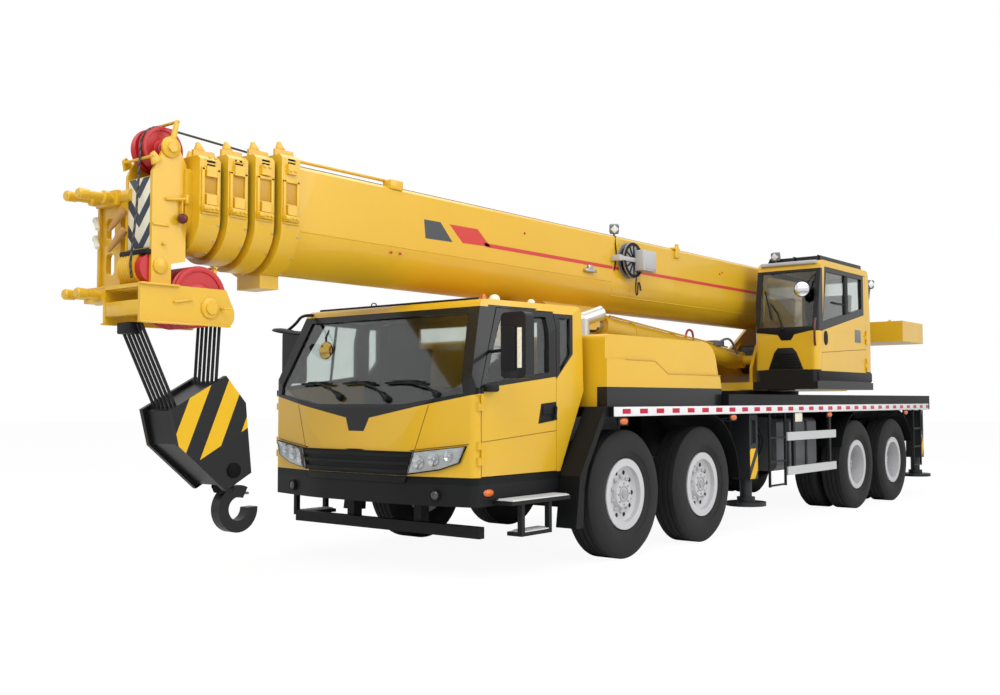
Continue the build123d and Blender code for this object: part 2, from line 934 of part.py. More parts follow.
window_head = cab_roof_line - window_margin
sill_front = cab_belt + window_margin / 2
sill_rear = sill_front + 2 * window_margin
quarter_front = door_rear - window_margin
quarter_rear = quarter_front - quarter_length
windscreen_low = cab_cowl_z + window_margin / 2
windscreen_zone = prism_x([(-windscreen_half, windscreen_low + windscreen_dip),
                           (-cab_nose_half, windscreen_low),
                           (cab_nose_half, windscreen_low),
                           (windscreen_half, windscreen_low + windscreen_dip),
                           (windscreen_half - windscreen_taper, window_head),
                           (windscreen_taper - windscreen_half, window_head)], door_rear, far)
door_window_zone = prism_y([(door_front - window_margin, sill_front),
                            (door_rear + 2 * window_margin, sill_rear),
                            (door_rear + 2 * window_margin, window_head),
                            (door_front_top - window_margin, window_head)], -far, far)
quarter_zone = prism_y([(quarter_front, sill_rear), (quarter_rear, sill_rear + 3 * window_margin),
                        (quarter_rear, window_head), (quarter_front, window_head)], -far, far)
rear_window_zone = prism_x([(-rear_window_half, sill_front), (rear_window_half, sill_front),
                            (rear_window_half, window_head), (-rear_window_half, window_head)],
                           0, quarter_rear - window_margin)


def hinge(s, y, z, towards):
    # knuckle on a door, and the pin with its two bosses on the frame, just outside a skin at y
    axis_y = y + hinge_radius + slide_clearance
    low, high = z - hinge_half, z + hinge_half
    leaf = s_box((s, s + towards * hinge_leaf), (y, axis_y), (low, high))
    door_side = fuse(rod_z(s, axis_y, hinge_radius, low, high), leaf)
    door_side -= rod_z(s, axis_y, hinge_pin_radius + pin_clearance, low, high)
    frame = [rod_z(s, axis_y, hinge_pin_radius, low - 2 * hinge_half, high + 2 * hinge_half)]
    for a, b in ((low - 2 * hinge_half, low - slide_clearance),
                 (high + slide_clearance, high + 2 * hinge_half)):
        frame.append(rod_z(s, axis_y, hinge_radius, a, b))
        frame.append(s_box((s, s - towards * hinge_leaf), (y - hinge_sink, axis_y), (a, b)))
    return door_side, fuse(*frame)


def door_mirror(s):
    # mirror head at a station, on an arm from the door's front pillar
    outer = cab_half_width + mirror_reach
    rounded = [(outer, mirror_bottom), (outer, mirror_bottom + mirror_height)]
    rounded += [(outer - mirror_width, mirror_bottom + mirror_height),
                (outer - mirror_width, mirror_bottom)]
    head = across(drawn(rounded, [(corner, mirror_round) for corner in rounded]), s, s + mirror_depth)
    rise = (mirror_arm_z - cab_belt) / (cab_roof_line - cab_belt)
    pillar_s = door_front - rise * (door_front - door_front_top) - window_margin / 2
    root = (pillar_s, cab_half_width - 1.5 * cab_wall, mirror_arm_z)
    arm = rod_between(root, (s + mirror_depth / 2, outer - mirror_width / 2, mirror_arm_z),
                      mirror_arm_radius)
    return arm, head


def cab_panels():
    shell = cab_hull(0) - cab_hull(cab_wall)
    for zone in (windscreen_zone, quarter_zone, rear_window_zone):
        shell -= zone
    inner = cab_half_width - cab_wall
    side_wall = fuse(s_box((0, far), (inner, cab_half_width), (0, far)),
                     s_box((0, far), (inner - cab_side_lean, cab_half_width), (cab_waist, far)))
    door = (shell & cab_zone("door", door_gap) & side_wall) - door_window_zone
    front = [shell & cab_zone("front")]
    leaves = []
    for z in (hinge_low_z, hinge_high_z):
        leaf, pin = hinge(door_front - door_gap / 2, cab_half_width, z, -1)
        leaves.append(leaf)
        front += both_sides(pin)
    door = fuse(door, *leaves)
    parts["cab_floor"] = shell & cab_zone("floor")
    parts["cab_roof"] = shell & cab_zone("roof")
    parts["cab_front"] = fuse(*front)
    parts["cab_rear"] = shell & cab_zone("rear")
    parts["cab_door_left"] = fuse(door, *door_mirror(mirror_station))
    parts["cab_door_right"] = mirror(fuse(door, *door_mirror(folded_mirror_station)), about=Plane.XZ)


def headlamp():
    low = grille_bottom + lamp_gap
    middle_y = (lamp_low_y + lamp_outer_y) / 2
    outline = [(lamp_low_y + lamp_gap, low), (lamp_high_y + lamp_gap, grille_top),
               (lamp_outer_y, lamp_tip_z)]
    outline += [(lamp_outer_y - window_margin, lamp_tip_z - 2 * window_margin),
                (middle_y, low + window_margin)]
    return front_skin(lamp_depth, prism_x(outline, door_rear, far))


def cab_glass():
    pane = cab_hull(glass_depth) - cab_hull(glass_depth + glass_thickness)
    panes = [pane & zone for zone in (windscreen_zone, quarter_zone, rear_window_zone)]
    return fuse(*panes, *both_sides(headlamp()))


def seat(s, y, low, base_height, back_height):
    cushion_low = low + base_height
    top = cushion_low + seat_cushion
    w = seat_half_width
    base = s_box((s - 0.7 * w, s + 0.7 * w), (y - 0.7 * w, y + 0.7 * w), (low, cushion_low))
    cushion = s_box((s - w, s + w), (y - w, y + w), (cushion_low, top))
    rear = s - w
    back = [(rear, top), (rear + seat_cushion, top),
            (rear + seat_cushion - seat_back_lean, top + back_height)]
    back += [(rear - seat_back_lean, top + back_height)]
    return fuse(base, cushion, prism_y(back, y - w, y + w))


def cab_interior():
    shapes = [seat(seat_station, y, cab_floor_top, seat_base_height, seat_back_height) for y in (seat_y,
                                                                                                 -seat_y)]
    rear = dash_front - 2 * windscreen_dip
    dash = [(rear, cab_floor_top), (dash_front, cab_floor_top), (dash_front, dash_top - window_margin)]
    dash += [(dash_front - windscreen_dip, dash_top), (rear - window_margin, dash_top - 2 * window_margin)]
    hub = Pos(station(wheel_station), seat_y, wheel_z) * Rot(0, -35, 0)
    column = rod_between((rear + window_margin, seat_y, dash_top - 2 * window_margin),
                         (wheel_station, seat_y, wheel_z), 2 * mirror_arm_radius)
    wheel = hub * Torus(wheel_radius, mirror_arm_radius)
    spoke = hub * Box(4 * mirror_arm_radius, 2 * wheel_radius, mirror_arm_radius)
    shapes.append(fuse(prism_y(dash, -dash_half_width, dash_half_width), column, wheel, spoke))
    return fuse(*shapes)


def grille():
    wide = grille_half + grille_flare
    outline = [(-grille_half, grille_bottom), (grille_half, grille_bottom), (wide, grille_top),
               (-wide, grille_top)]
    slats = front_skin(slat_depth, prism_x(outline, door_rear, far))
    backing = standing(cab_plan(-grille_depth), 0, cab_top)
    pitch = (grille_top - grille_bottom) / slat_count
    for k in range(slat_count + 1):
        z = grille_bottom + (k - 0.5) * pitch + slat_height / 2
        gap = s_box((door_rear, 2 * cab_front), (-cab_half_width, cab_half_width),
                    (z, z + pitch - slat_height))
        slats -= gap - backing
    return slats


def bumper():
    ring = standing(cab_plan(0), bumper_bottom, cab_bottom) - standing(cab_plan(bumper_thickness), 0,
                                                                       cab_bottom)
    ring -= s_box((-far, arch_station + door_gap), (-far, far), (0, far))
    fogs = [front_skin(fog_depth, fog) for fog in both_sides(rod_x(fog_y, fog_z, fog_radius, door_rear,
                                                                   2 * cab_front))]
    underrun_half = cab_half_width - underrun_inset
    bar = s_box((underrun_station, underrun_station + underrun_depth), (-underrun_half, underrun_half),
                (underrun_bottom, underrun_bottom + underrun_height))
    hanger = s_box((underrun_station - underrun_depth, underrun_station + underrun_depth / 2),
                   (rail_inner, rail_inner + hanger_width),
                   (underrun_bottom + underrun_height / 2, low_rail_bottom))
    tread = s_box((step_rear, step_front), (cab_half_width - bumper_thickness, step_y),
                  (step_top - step_thickness, step_top))
    leg_y = (step_y - 1.5 * step_leg, step_y - step_leg / 2)
    low_tread = s_box((low_step_rear, low_step_front), (step_y - 4 * step_leg, leg_y[1]),
                      (low_step_top - step_thickness, low_step_top))
    shapes = [fuse(ring, *fogs), bar] + both_sides(hanger) + both_sides(tread) + both_sides(low_tread)
    for s in (low_step_rear, low_step_front - step_leg):
        shapes += both_sides(s_box((s, s + step_leg), leg_y, (low_step_top - step_thickness, step_top)))
    return fuse(*shapes, grille())


cab_panels()
parts["cab_glass"] = cab_glass()
parts["cab_interior"] = cab_interior()
parts["bumper"] = bumper()


# ladders, guards and tanks along the sides
def ladder(front, width, edge):
    rear = front - width
    middle_y = sum(edge) / 2
    radius = ladder_tube / 2
    shapes = [rod_z(s, middle_y, radius, ladder_bottom, fascia_bottom) for s in (front, rear)]
    rungs = int((fascia_bottom - ladder_bottom) // rung_pitch)
    for k in range(rungs):
        shapes.append(rod_x(middle_y, ladder_bottom + radius + k * rung_pitch, rung_radius, rear, front))
    return shapes


def side_guards():
    edge = (deck_half_width - fascia_thickness + guard_inset, deck_half_width - guard_inset)
    shapes = []
    for z in (guard_low_z, guard_high_z):
        shapes.append(s_box((guard_rear, guard_front), edge,
                            (z - guard_half_height, z + guard_half_height)))
    for s in (guard_rear + 3 * guard_post, guard_front - 4 * guard_post):
        shapes.append(s_box((s, s + guard_post), edge, (guard_low_z - guard_half_height, fascia_bottom)))
    shapes += ladder(ladder_front, ladder_width, edge)
    shapes += ladder(rear_ladder_front, rear_ladder_width, edge)
    outline = [(tank_inner_y, tank_bottom), (tank_outer_y, tank_bottom), (tank_outer_y, tank_top)]
    outline += [(tank_inner_y, tank_top)]
    tank = across(drawn(outline, [(corner, tank_round) for corner in outline]), tank_rear, tank_front)
    middle = (tank_front + tank_rear) / 2
    bearer = s_box((middle - 2 * tank_round, middle + 2 * tank_round),
                   (frame_half_width, tank_inner_y + tank_round),
                   (guard_high_z - guard_post, guard_high_z + guard_post))
    shapes.append(fuse(tank, bearer))
    return fuse(*[copy for shape in shapes for copy in both_sides(shape)])


parts["side_guards"] = side_guards()


# superstructure
table_top = table_bottom + table_thickness
cheek_outer = table_plate_y + table_plate_thickness


def turntable():
    base = s_box((table_rear, table_front), (-cheek_outer, cheek_outer), (table_bottom, table_top))
    wing = s_box((op_rear - 4 * running_gap, op_front + 2 * running_gap), (cheek_outer, op_outer_y),
                 (table_bottom, table_top))
    race_low = deck_top + pedestal_height + running_gap
    race = rod_z(slew_station, 0, pedestal_radius - race_inset, race_low, table_bottom)
    spigot = rod_z(slew_station, 0, spigot_radius, deck_top + 2 * running_gap, table_bottom)
    m = cheek_margin
    cheek = [(table_front, table_top), (table_front, table_top + m),
             (lift_base_station + m, lift_base_z + m)]
    cheek += [(lift_base_station - m, lift_base_z + m), (lift_base_station - 3 * m, lift_base_z + m)]
    cheek += [(pivot_station + 2 * m, pivot_z + m / 2), (pivot_station + m, pivot_z + m)]
    cheek += [(pivot_station - m, pivot_z + m), (pivot_station - 2 * m, pivot_z),
              (table_rear + m, counterweight_top)]
    cheek += [(table_rear, counterweight_top), (table_rear, table_top)]
    shapes = [base, wing, race, spigot] + both_sides(prism_y(cheek, table_plate_y, cheek_outer))
    shapes.append(rod_y(pivot_station, pivot_z, pivot_radius, -cheek_outer, cheek_outer))
    shapes.append(rod_y(lift_base_station, lift_base_z, lift_pin_radius, -cheek_outer, cheek_outer))
    for s in (winch_1_station, winch_2_station):
        shapes.append(rod_y(s, winch_z, winch_radius, -cheek_outer, cheek_outer))
        shapes += both_sides(rod_y(s, winch_z, winch_flange_radius, table_plate_y - winch_flange,
                                   table_plate_y))
    return fuse(*shapes)


def counterweight():
    w = counterweight_half_width
    plan = [(table_rear, -w), (table_rear, w), (-rear_reach, w), (-rear_reach, -w)]
    face = drawn(plan, [(corner, counterweight_round) for corner in plan[2:]])
    return standing(face, counterweight_bottom, counterweight_top)


def op_cab_hull(inset):
    outline = [(op_front, table_top), (op_front, op_sill), (op_front - op_front_rake, op_top)]
    outline += [(op_rear + op_rear_rake, op_top), (op_rear, op_knee_z), (op_rear, table_top)]
    side = drawn(outline, [(corner, op_round) for corner in outline[2:4]])
    corners = [(op_front, op_inner_y), (op_front, op_outer_y), (op_rear, op_outer_y), (op_rear, op_inner_y)]
    plan = drawn(corners, [(corner, op_round) for corner in corners])
    if inset:
        side = offset(side, amount=-inset, kind=Kind.INTERSECTION)
        plan = offset(plan, amount=-inset, kind=Kind.INTERSECTION)
    return upright(side, op_inner_y, op_outer_y) & standing(plan, 0, 2 * op_top)


op_head = op_top - op_window_head
op_left = op_outer_y - op_window_margin
op_right = op_inner_y + op_window_margin
op_door_front = op_front - op_door_inset_front
op_door_front_top = op_door_front - op_front_rake
op_door_rear = op_rear + op_door_inset_rear
op_door_top = op_top - op_door_head
op_toe_top = op_sill - op_door_head
op_glass_front = op_front - op_front_rake - 2 * op_round
op_glass_rear = op_rear + op_rear_rake + op_round
op_front_upper = prism_x([(op_right, op_sill), (op_left, op_sill), (op_left, op_head), (op_right, op_head)],
                         op_glass_front, 0)
op_front_lower = prism_x([(op_right + op_round, table_top + op_toe_gap),
                          (op_left - op_round, table_top + op_toe_gap),
                          (op_left, op_toe_top), (op_right, op_toe_top)], op_front - op_round, 0)
op_rear_zone = prism_x([(op_right + op_round, op_sill), (op_left - op_round, op_sill),
                        (op_left - op_round, op_head),
                        (op_right + op_round, op_head)], op_rear - op_round, op_glass_rear)
op_side_window = [(op_door_front - op_window_margin, op_sill),
                  (op_door_front_top - op_window_margin, op_head)]
op_side_window += [(op_door_rear + op_window_head, op_head), (op_door_rear + op_window_head, op_sill)]
op_right_zone = prism_y(op_side_window, 0, op_right + op_window_margin)
op_door_window = prism_y(op_side_window, op_left, op_outer_y + op_window_margin)


def op_door_zone(inset):
    outline = [(op_door_front - inset, op_door_bottom + inset),
               (op_door_front_top - inset, op_door_top - inset)]
    outline += [(op_door_rear + inset, op_door_top - inset), (op_door_rear + inset, op_door_bottom + inset)]
    return prism_y(outline, op_outer_y - op_wall, op_outer_y)


def op_cab_panels():
    shell = op_cab_hull(0) - op_cab_hull(op_wall)
    for zone in (op_front_upper, op_front_lower, op_rear_zone, op_right_zone):
        shell -= zone
    door = (shell & op_door_zone(door_gap)) - op_door_window
    frame = [shell - op_door_zone(0)]
    for z in (op_door_bottom + op_window_head, op_sill - op_window_head / 2):
        leaf, pin = hinge(op_door_rear + door_gap / 2, op_outer_y, z, 1)
        door = fuse(door, leaf)
        frame.append(pin)
    front = op_front - op_front_rake - rack_inset
    rear = op_rear + op_rear_rake + rack_inset
    low, high = op_inner_y + rack_inset, op_outer_y - rack_inset / 2
    rack = s_box((rear, front), (low, high), (op_top - running_gap, op_top + rack_height))
    rack -= s_box((rear + rack_tube, front - rack_tube), (low + rack_tube, high - rack_tube),
                  (op_top - running_gap, op_top + rack_height))
    parts["op_cab_shell"] = fuse(*frame, rack)
    parts["op_cab_door"] = door


def op_cab_glass():
    pane = op_cab_hull(glass_depth) - op_cab_hull(glass_depth + glass_thickness)
    return fuse(*[pane & zone for zone in (op_front_upper, op_front_lower, op_rear_zone, op_right_zone)])


def op_cab_interior():
    low = table_top + op_wall
    y = (op_inner_y + op_outer_y) / 2
    chair = seat(op_seat_station, y, low, op_seat_top - seat_cushion - low, op_seat_back)
    front = op_front - op_wall - 2 * op_window_margin
    half = seat_half_width - rack_tube
    console = s_box((front - op_console_depth, front), (y - half, y + half), (low, op_console_top))
    return fuse(chair, console)


parts["turntable"] = turntable()
parts["counterweight"] = counterweight()
op_cab_panels()
parts["op_cab_glass"] = op_cab_glass()
parts["op_cab_interior"] = op_cab_interior()


# boom
def boom_profile(grow, s0, s1):
    # U section: flat top with chamfered corners, half-round belly
    w = boom_half_width + grow
    top = boom_top + grow
    c = boom_chamfer
    x = station(s0)
    points = [(-w, boom_axis_z), (-w, top - c), (-w + c, top), (w - c, top), (w, top - c), (w, boom_axis_z)]
    points = [Vector(x, y, z) for y, z in points]
    edges = [Edge.make_line(a, b) for a, b in zip(points, points[1:])]
    edges.append(Edge.make_three_point_arc(points[-1], Vector(x, 0, boom_axis_z - w), points[0]))
    return Solid.extrude(Face(Wire(edges)), Vector(s1 - s0, 0, 0))


def section_tube(number, s0, s1):
    grow = -boom_step * (number - 1)
    return boom_profile(grow, s0, s1) - boom_profile(grow - boom_wall, s0 - boom_wall, s1 + boom_wall)


def collar(number):
    front = collar_front + collar_pitch * (number - 1)
    rear = front - collar_length
    grow = -boom_step * (number - 1)
    w = boom_half_width + grow + collar_rim
    top = boom_top + grow + collar_rim
    shapes = [boom_profile(grow + collar_rim, rear, front)]
    fin_y = w - 3 * collar_fin
    shapes += both_sides(s_box((rear, front), (fin_y - collar_fin, fin_y),
                               (top - boom_chamfer, top + collar_fin_height)))
    middle = (front + rear) / 2
    for z in (boom_axis_z + adjuster_height, top - 2 * adjuster_height):
        shapes += both_sides(s_box((middle - adjuster_length / 2, middle + adjuster_length / 2),
                                   (w - adjuster_depth, w + adjuster_depth), (z, z + adjuster_height)))
    if number == 1:
        low = boom_axis_z - w
        shapes.append(s_box((rear, front), (-pad_half_width, pad_half_width),
                            (low - pad_depth, low + adjuster_depth)))
    ring = fuse(*shapes)
    return ring - boom_profile(grow - boom_step + slide_clearance, rear - boom_wall, front + boom_wall)


def boom_section(number):
    tail = boom_tail + section_tail_step * number
    front = collar_front + collar_pitch * (number - 1)
    return fuse(section_tube(number, tail, front - collar_length), collar(number))


belly = boom_axis_z - boom_half_width


def boom_base():
    shapes = [section_tube(1, boom_tail, collar_front - collar_length), collar(1)]
    root = belly + 1.5 * boom_chamfer
    low = lift_eye_z - bracket_drop
    cheek = [(bracket_front, root), (lift_eye_station + 3 * bracket_drop, low),
             (lift_eye_station - bracket_drop, low)]
    cheek += [(bracket_rear, lift_eye_z), (bracket_rear, root)]
    shapes += both_sides(prism_y(cheek, bracket_y, bracket_y + bracket_thickness))
    boss = rod_y(pivot_station, pivot_z, pivot_boss_radius, boom_half_width - boom_wall,
                 table_plate_y - running_gap)
    shapes += both_sides(boss)
    spool = [(-boom_wall, 0), (-boom_wall, reel_radius), (reel_flange, reel_radius),
             (reel_flange, reel_core)]
    spool += [(reel_width - reel_flange, reel_core), (reel_width - reel_flange, reel_radius)]
    spool += [(reel_width, reel_radius), (reel_width, 0)]
    shapes.append(turned(spool, reel_station, boom_half_width, reel_z))
    return fuse(*shapes) - rod_y(pivot_station, pivot_z, pivot_radius + pin_clearance, -deck_half_width,
                                 deck_half_width)


def boom_tip():
    shapes = [section_tube(5, boom_tail + 5 * section_tail_step, head_rear)]
    shapes.append(boom_profile(-4 * boom_step, head_rear, head_rear + head_end_plate))
    t = head_plate_thickness
    foot = lower_top - t
    neck = top_sheave_station - sheave_groove
    plate = [(neck, foot), (head_front, foot), (head_front, sign_top + t),
             (head_front - 3 * t, top_sheave_z - t)]
    plate += [(top_sheave_station + 2 * t, top_sheave_z + 1.5 * t),
              (top_sheave_station - 2 * t, top_sheave_z + 1.5 * t)]
    plate += [(head_rear + t / 2, top_sheave_z - 4 * t), (head_rear + t / 2, head_neck_z + t),
              (neck, head_neck_z)]
    shapes += both_sides(prism_y(plate, head_plate_y, head_plate_y + t))
    shapes.append(s_box((head_front - t, head_front - sheave_lip), (-head_plate_y, head_plate_y),
                        (sign_bottom, sign_top)))
    lower = [(lower_rear, lower_bottom), (lower_rear, lower_top - 2 * lower_round)]
    lower += [(lower_rear + lower_round, lower_top), (lower_front, lower_top), (lower_front, lower_bottom)]
    arm = drawn(lower, [(lower[0], lower_round)])
    shapes += both_sides(upright(arm, lower_plate_y, lower_plate_y + t))
    shapes.append(s_box((neck, lower_front), (-lower_plate_y, lower_plate_y), (lower_top - t, lower_top)))
    side = jib_plate_y
    shapes.append(s_box((head_front - 2 * t, head_front), (side, -head_plate_y),
                        (jib_arm_z - t, jib_arm_z + t)))
    shapes.append(s_box((head_front, lower_front), (side, -lower_plate_y),
                        (lower_top - jib_foot, lower_top)))
    plate_x = s_box((head_front - 1.5 * t, head_front), (side, side + jib_plate_width),
                    (lower_top - jib_foot, jib_plate_top))
    slot_y = side + jib_plate_width / 2
    slot = [(slot_y - jib_slot_width / 2, -jib_slot_height / 2),
            (slot_y + jib_slot_width / 2, -jib_slot_height / 2)]
    slot += [(slot_y + jib_slot_width / 2, jib_slot_height / 2),
             (slot_y - jib_slot_width / 2, jib_slot_height / 2)]
    hole = drawn(slot, [(corner, jib_slot_width / 3) for corner in slot])
    for z in (jib_slot_low_z, jib_slot_high_z):
        plate_x -= Pos(0, 0, z) * across(hole, head_front - 2 * t, head_front + t)
    shapes.append(plate_x)
    for y in (side + jib_pin_inset, side + jib_plate_width - jib_pin_inset):
        for z in (lower_top - jib_foot / 2, jib_plate_top - jib_foot / 2):
            shapes.append(rod_x(y, z, jib_pin_radius, head_front - t, front_reach))
    return fuse(*shapes)


def sheave(s, y, z, radius, width):
    half = width / 2
    profile = [(-half, 0), (-half, radius), (sheave_lip - half, radius), (0, radius - sheave_groove)]
    profile += [(half - sheave_lip, radius), (half, radius), (half, 0)]
    return turned(profile, s, y, z)


def head_sheaves():
    top = [rod_y(top_sheave_station, top_sheave_z, sheave_shaft, -head_plate_y, head_plate_y)]
    for y in (-top_sheave_pitch / 2, top_sheave_pitch / 2):
        top.append(sheave(top_sheave_station, y, top_sheave_z, top_sheave_radius, top_sheave_width))
    rear = [rod_y(rear_sheave_station, rear_sheave_z, sheave_shaft, -lower_plate_y, lower_plate_y)]
    for k in (-2, -1, 0, 1, 2):
        rear.append(sheave(rear_sheave_station, k * rear_sheave_pitch, rear_sheave_z, rear_sheave_radius,
                           rear_sheave_width))
    guide = rod_y(guide_station, guide_z, guide_radius, -head_plate_y, head_plate_y)
    return fuse(fuse(*top), fuse(*rear), guide)


# lift cylinder
lift_length = hypot(lift_eye_station - lift_base_station, lift_eye_z - lift_base_z)
lift_angle = atan2(lift_eye_z - lift_base_z, lift_eye_station - lift_base_station)


def along_lift(distance):
    return (lift_base_station + distance * cos(lift_angle), 0, lift_base_z + distance * sin(lift_angle))


def lift_barrel():
    boss_radius = lift_pin_radius + lift_boss_wall
    boss = rod_y(lift_base_station, lift_base_z, boss_radius, -lift_boss_half, lift_boss_half)
    body = rod_between(along_lift(lift_pin_radius), along_lift(lift_gland), lift_barrel_radius)
    gland = rod_between(along_lift(lift_gland - lift_gland_length), along_lift(lift_gland),
                        lift_gland_radius)
    bore = rod_between(along_lift(lift_tail - 4 * running_gap), along_lift(lift_gland + running_gap),
                       lift_rod_radius + pin_clearance)
    eye = rod_y(lift_base_station, lift_base_z, lift_pin_radius + pin_clearance, -table_plate_y,
                table_plate_y)
    return fuse(boss, body, gland) - bore - eye


def lift_rod():
    rod = rod_between(along_lift(lift_tail), along_lift(lift_length - 4 * running_gap), lift_rod_radius)
    eye = rod_y(lift_eye_station, lift_eye_z, lift_eye_radius, running_gap - bracket_y,
                bracket_y - running_gap)
    return fuse(rod, eye)


# hook block, drawn in its own leaning frame: u down the ropes, v forward
def leaning(u, v):
    a = radians(hook_lean)
    return (block_station - u * sin(a) + v * cos(a), block_z - u * cos(a) - v * sin(a))


def block_plate(inset, y0, y1):
    top, shoulder, foot = block_top_half - inset, block_shoulder_half - inset, block_foot_half - inset
    end = block_length - inset
    outline = [(inset, -top), (inset, top), (block_shoulder, shoulder), (end, foot), (end, -foot)]
    outline.append((block_shoulder, -shoulder))
    return prism_y([leaning(u, v) for u, v in outline], y0, y1)


def hook_block():
    t = block_half_thickness
    shapes = [block_plate(block_core_inset, -t, t)] + both_sides(block_plate(0, t, t + cheek_thickness))
    shank_top, shank_end = leaning(block_length - shank_radius, 0), leaning(shank_length, 0)
    shapes.append(rod_between((shank_top[0], 0, shank_top[1]), (shank_end[0], 0, shank_end[1]),
                              shank_radius))
    centre = leaning(shank_length + hook_inner + shank_radius, 0)
    bow = rod_y(*centre, hook_outer, -hook_half_thickness, hook_half_thickness)
    bow -= rod_y(*centre, hook_inner, -hook_half_thickness, hook_half_thickness)
    mouth = [(centre[0], centre[1])]
    for angle in (hook_mouth_start, (hook_mouth_start + hook_mouth_end) / 2, hook_mouth_end):
        a = radians(angle)
        mouth.append((centre[0] + 2 * hook_outer * cos(a), centre[1] + 2 * hook_outer * sin(a)))
    shapes.append(bow - prism_y(mouth, -t, t))
    bar_half = lower_plate_y - slide_clearance
    shapes.append(rod_y(hook_pivot_station, hook_pivot_z, hook_bar_radius, -bar_half, bar_half))
    rear_end, front_end = leaning(2 * block_core_inset, -rope_spread), leaning(2 * block_core_inset,
                                                                               rope_spread)
    for k in range(rope_count):
        y = (k - (rope_count - 1) / 2) * rope_pitch
        front_top = (lower_front - lower_round, y, lower_bottom - slide_clearance)
        shapes.append(rod_between((hook_pivot_station, y, hook_pivot_z), (rear_end[0], y, rear_end[1]),
                                  rope_radius))
        shapes.append(rod_between(front_top, (front_end[0], y, front_end[1]), rope_radius))
    return fuse(*shapes)


parts["boom_base"] = boom_base()
for number in (2, 3, 4):
    parts[f"boom_{number}"] = boom_section(number)
parts["boom_tip"] = boom_tip()
parts["head_sheaves"] = head_sheaves()
parts["lift_barrel"] = lift_barrel()
parts["lift_rod"] = lift_rod()
parts["hook_block"] = hook_block()

os.makedirs("parts", exist_ok=True)
for name, shape in parts.items():
    export_step(shape, f"parts/{name}.step")
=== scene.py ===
import bpy
import json
import math
from mathutils import Matrix, Vector


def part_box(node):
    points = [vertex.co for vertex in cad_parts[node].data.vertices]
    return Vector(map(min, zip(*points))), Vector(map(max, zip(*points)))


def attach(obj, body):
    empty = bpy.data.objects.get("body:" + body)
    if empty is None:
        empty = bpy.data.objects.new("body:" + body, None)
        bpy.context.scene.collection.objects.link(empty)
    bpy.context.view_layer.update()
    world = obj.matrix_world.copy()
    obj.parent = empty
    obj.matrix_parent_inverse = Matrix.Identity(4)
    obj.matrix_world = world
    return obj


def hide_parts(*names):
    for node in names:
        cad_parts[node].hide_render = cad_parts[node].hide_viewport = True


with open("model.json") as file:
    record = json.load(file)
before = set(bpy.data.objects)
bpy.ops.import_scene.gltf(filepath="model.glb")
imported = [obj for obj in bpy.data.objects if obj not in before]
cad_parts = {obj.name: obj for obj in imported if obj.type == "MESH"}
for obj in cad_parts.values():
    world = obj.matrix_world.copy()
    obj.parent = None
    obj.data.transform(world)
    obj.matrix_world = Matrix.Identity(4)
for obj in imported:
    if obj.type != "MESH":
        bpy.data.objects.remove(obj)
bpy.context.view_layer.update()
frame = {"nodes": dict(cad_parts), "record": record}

nodes = frame["nodes"]
hands = {"left": 1, "right": -1}
axleX = sum(corner.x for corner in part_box("tyre_1_left")) / 2      # first axle, stations count from it


def st(s):
    return axleX + s


print("frame loaded")

# camera: stands low off the front left corner, as the photographer did
camera = {"place": (9.86, 6.129, 1.339), "yaw": 38.9, "pitch": 2.89, "roll": 0.11, "lens": 38.06}
yaw, pitch = math.radians(camera["yaw"]), math.radians(camera["pitch"])
look = Vector((-math.cos(yaw) * math.cos(pitch), -math.sin(yaw) * math.cos(pitch), math.sin(pitch)))
bpy.ops.object.select_all(action="DESELECT")
bpy.ops.object.camera_add(location=camera["place"])
cam = bpy.context.object
cam.rotation_mode = "QUATERNION"
roll = Matrix.Rotation(math.radians(camera["roll"]), 4, look).to_quaternion()
cam.rotation_quaternion = roll @ look.to_track_quat("-Z", "Y")
cam.data.lens = camera["lens"]
cam.data.sensor_width = 36
cam.data.clip_end = 200
bpy.context.scene.camera = cam
bpy.context.scene.view_settings.view_transform = "Standard"


def linear(hexValue):
    channels = [int(hexValue[i:i + 2], 16) / 255 for i in (1, 3, 5)]
    return [c / 12.92 if c <= 0.04045 else ((c + 0.055) / 1.055) ** 2.4 for c in channels] + [1.0]


def darker(colour, share):
    return [c * share for c in linear(colour)[:3]] + [1.0]


def addNode(tree, kind, settings=None, links=None):
    node = tree.nodes.new("ShaderNode" + kind)
    for key, setting in (settings or {}).items():
        if isinstance(key, str) and hasattr(node, key):
            setattr(node, key, setting)
        else:
            node.inputs[key].default_value = setting
    for socket, source in (links or {}).items():
        tree.links.new(source, node.inputs[socket])
    return node


# a maths node, each term a number or another node's output
def maths(tree, operation, *terms):
    numbers = {k: term for k, term in enumerate(terms) if isinstance(term, float)}
    links = {k: term for k, term in enumerate(terms) if k not in numbers}
    return addNode(tree, "Math", {"operation": operation, **numbers}, links).outputs[0]


# a colour mix, each end a colour or another node's output
def mixColours(tree, share, *ends):
    colours = {k: end for k, end in enumerate(ends, 6) if isinstance(end, list)}
    links = {k: end for k, end in enumerate(ends, 6) if k not in colours}
    return addNode(tree, "Mix", {"data_type": "RGBA", **colours}, {0: share, **links}).outputs[2]


def noise(tree, place, scale, detail):
    return addNode(tree, "TexNoise", {"Scale": scale, "Detail": detail}, {"Vector": place}).outputs[0]


def spread(tree, low, high, share):
    return addNode(tree, "MapRange", {3: low, 4: high}, {0: share}).outputs[0]


def bumped(tree, strength, distance, height):
    return addNode(tree, "Bump", {"Strength": strength, "Distance": distance}, {"Height": height}).outputs[0]


def emptyMaterial(name):
    material = bpy.data.materials.new(name)
    material.use_nodes = True
    material.node_tree.nodes.clear()
    return material, material.node_tree


def objectPlace(tree):
    return addNode(tree, "TexCoord").outputs["Object"]


def surfaced(tree, settings, links):
    shader = addNode(tree, "BsdfPrincipled", settings, links)
    addNode(tree, "OutputMaterial", {}, {0: shader.outputs[0]})


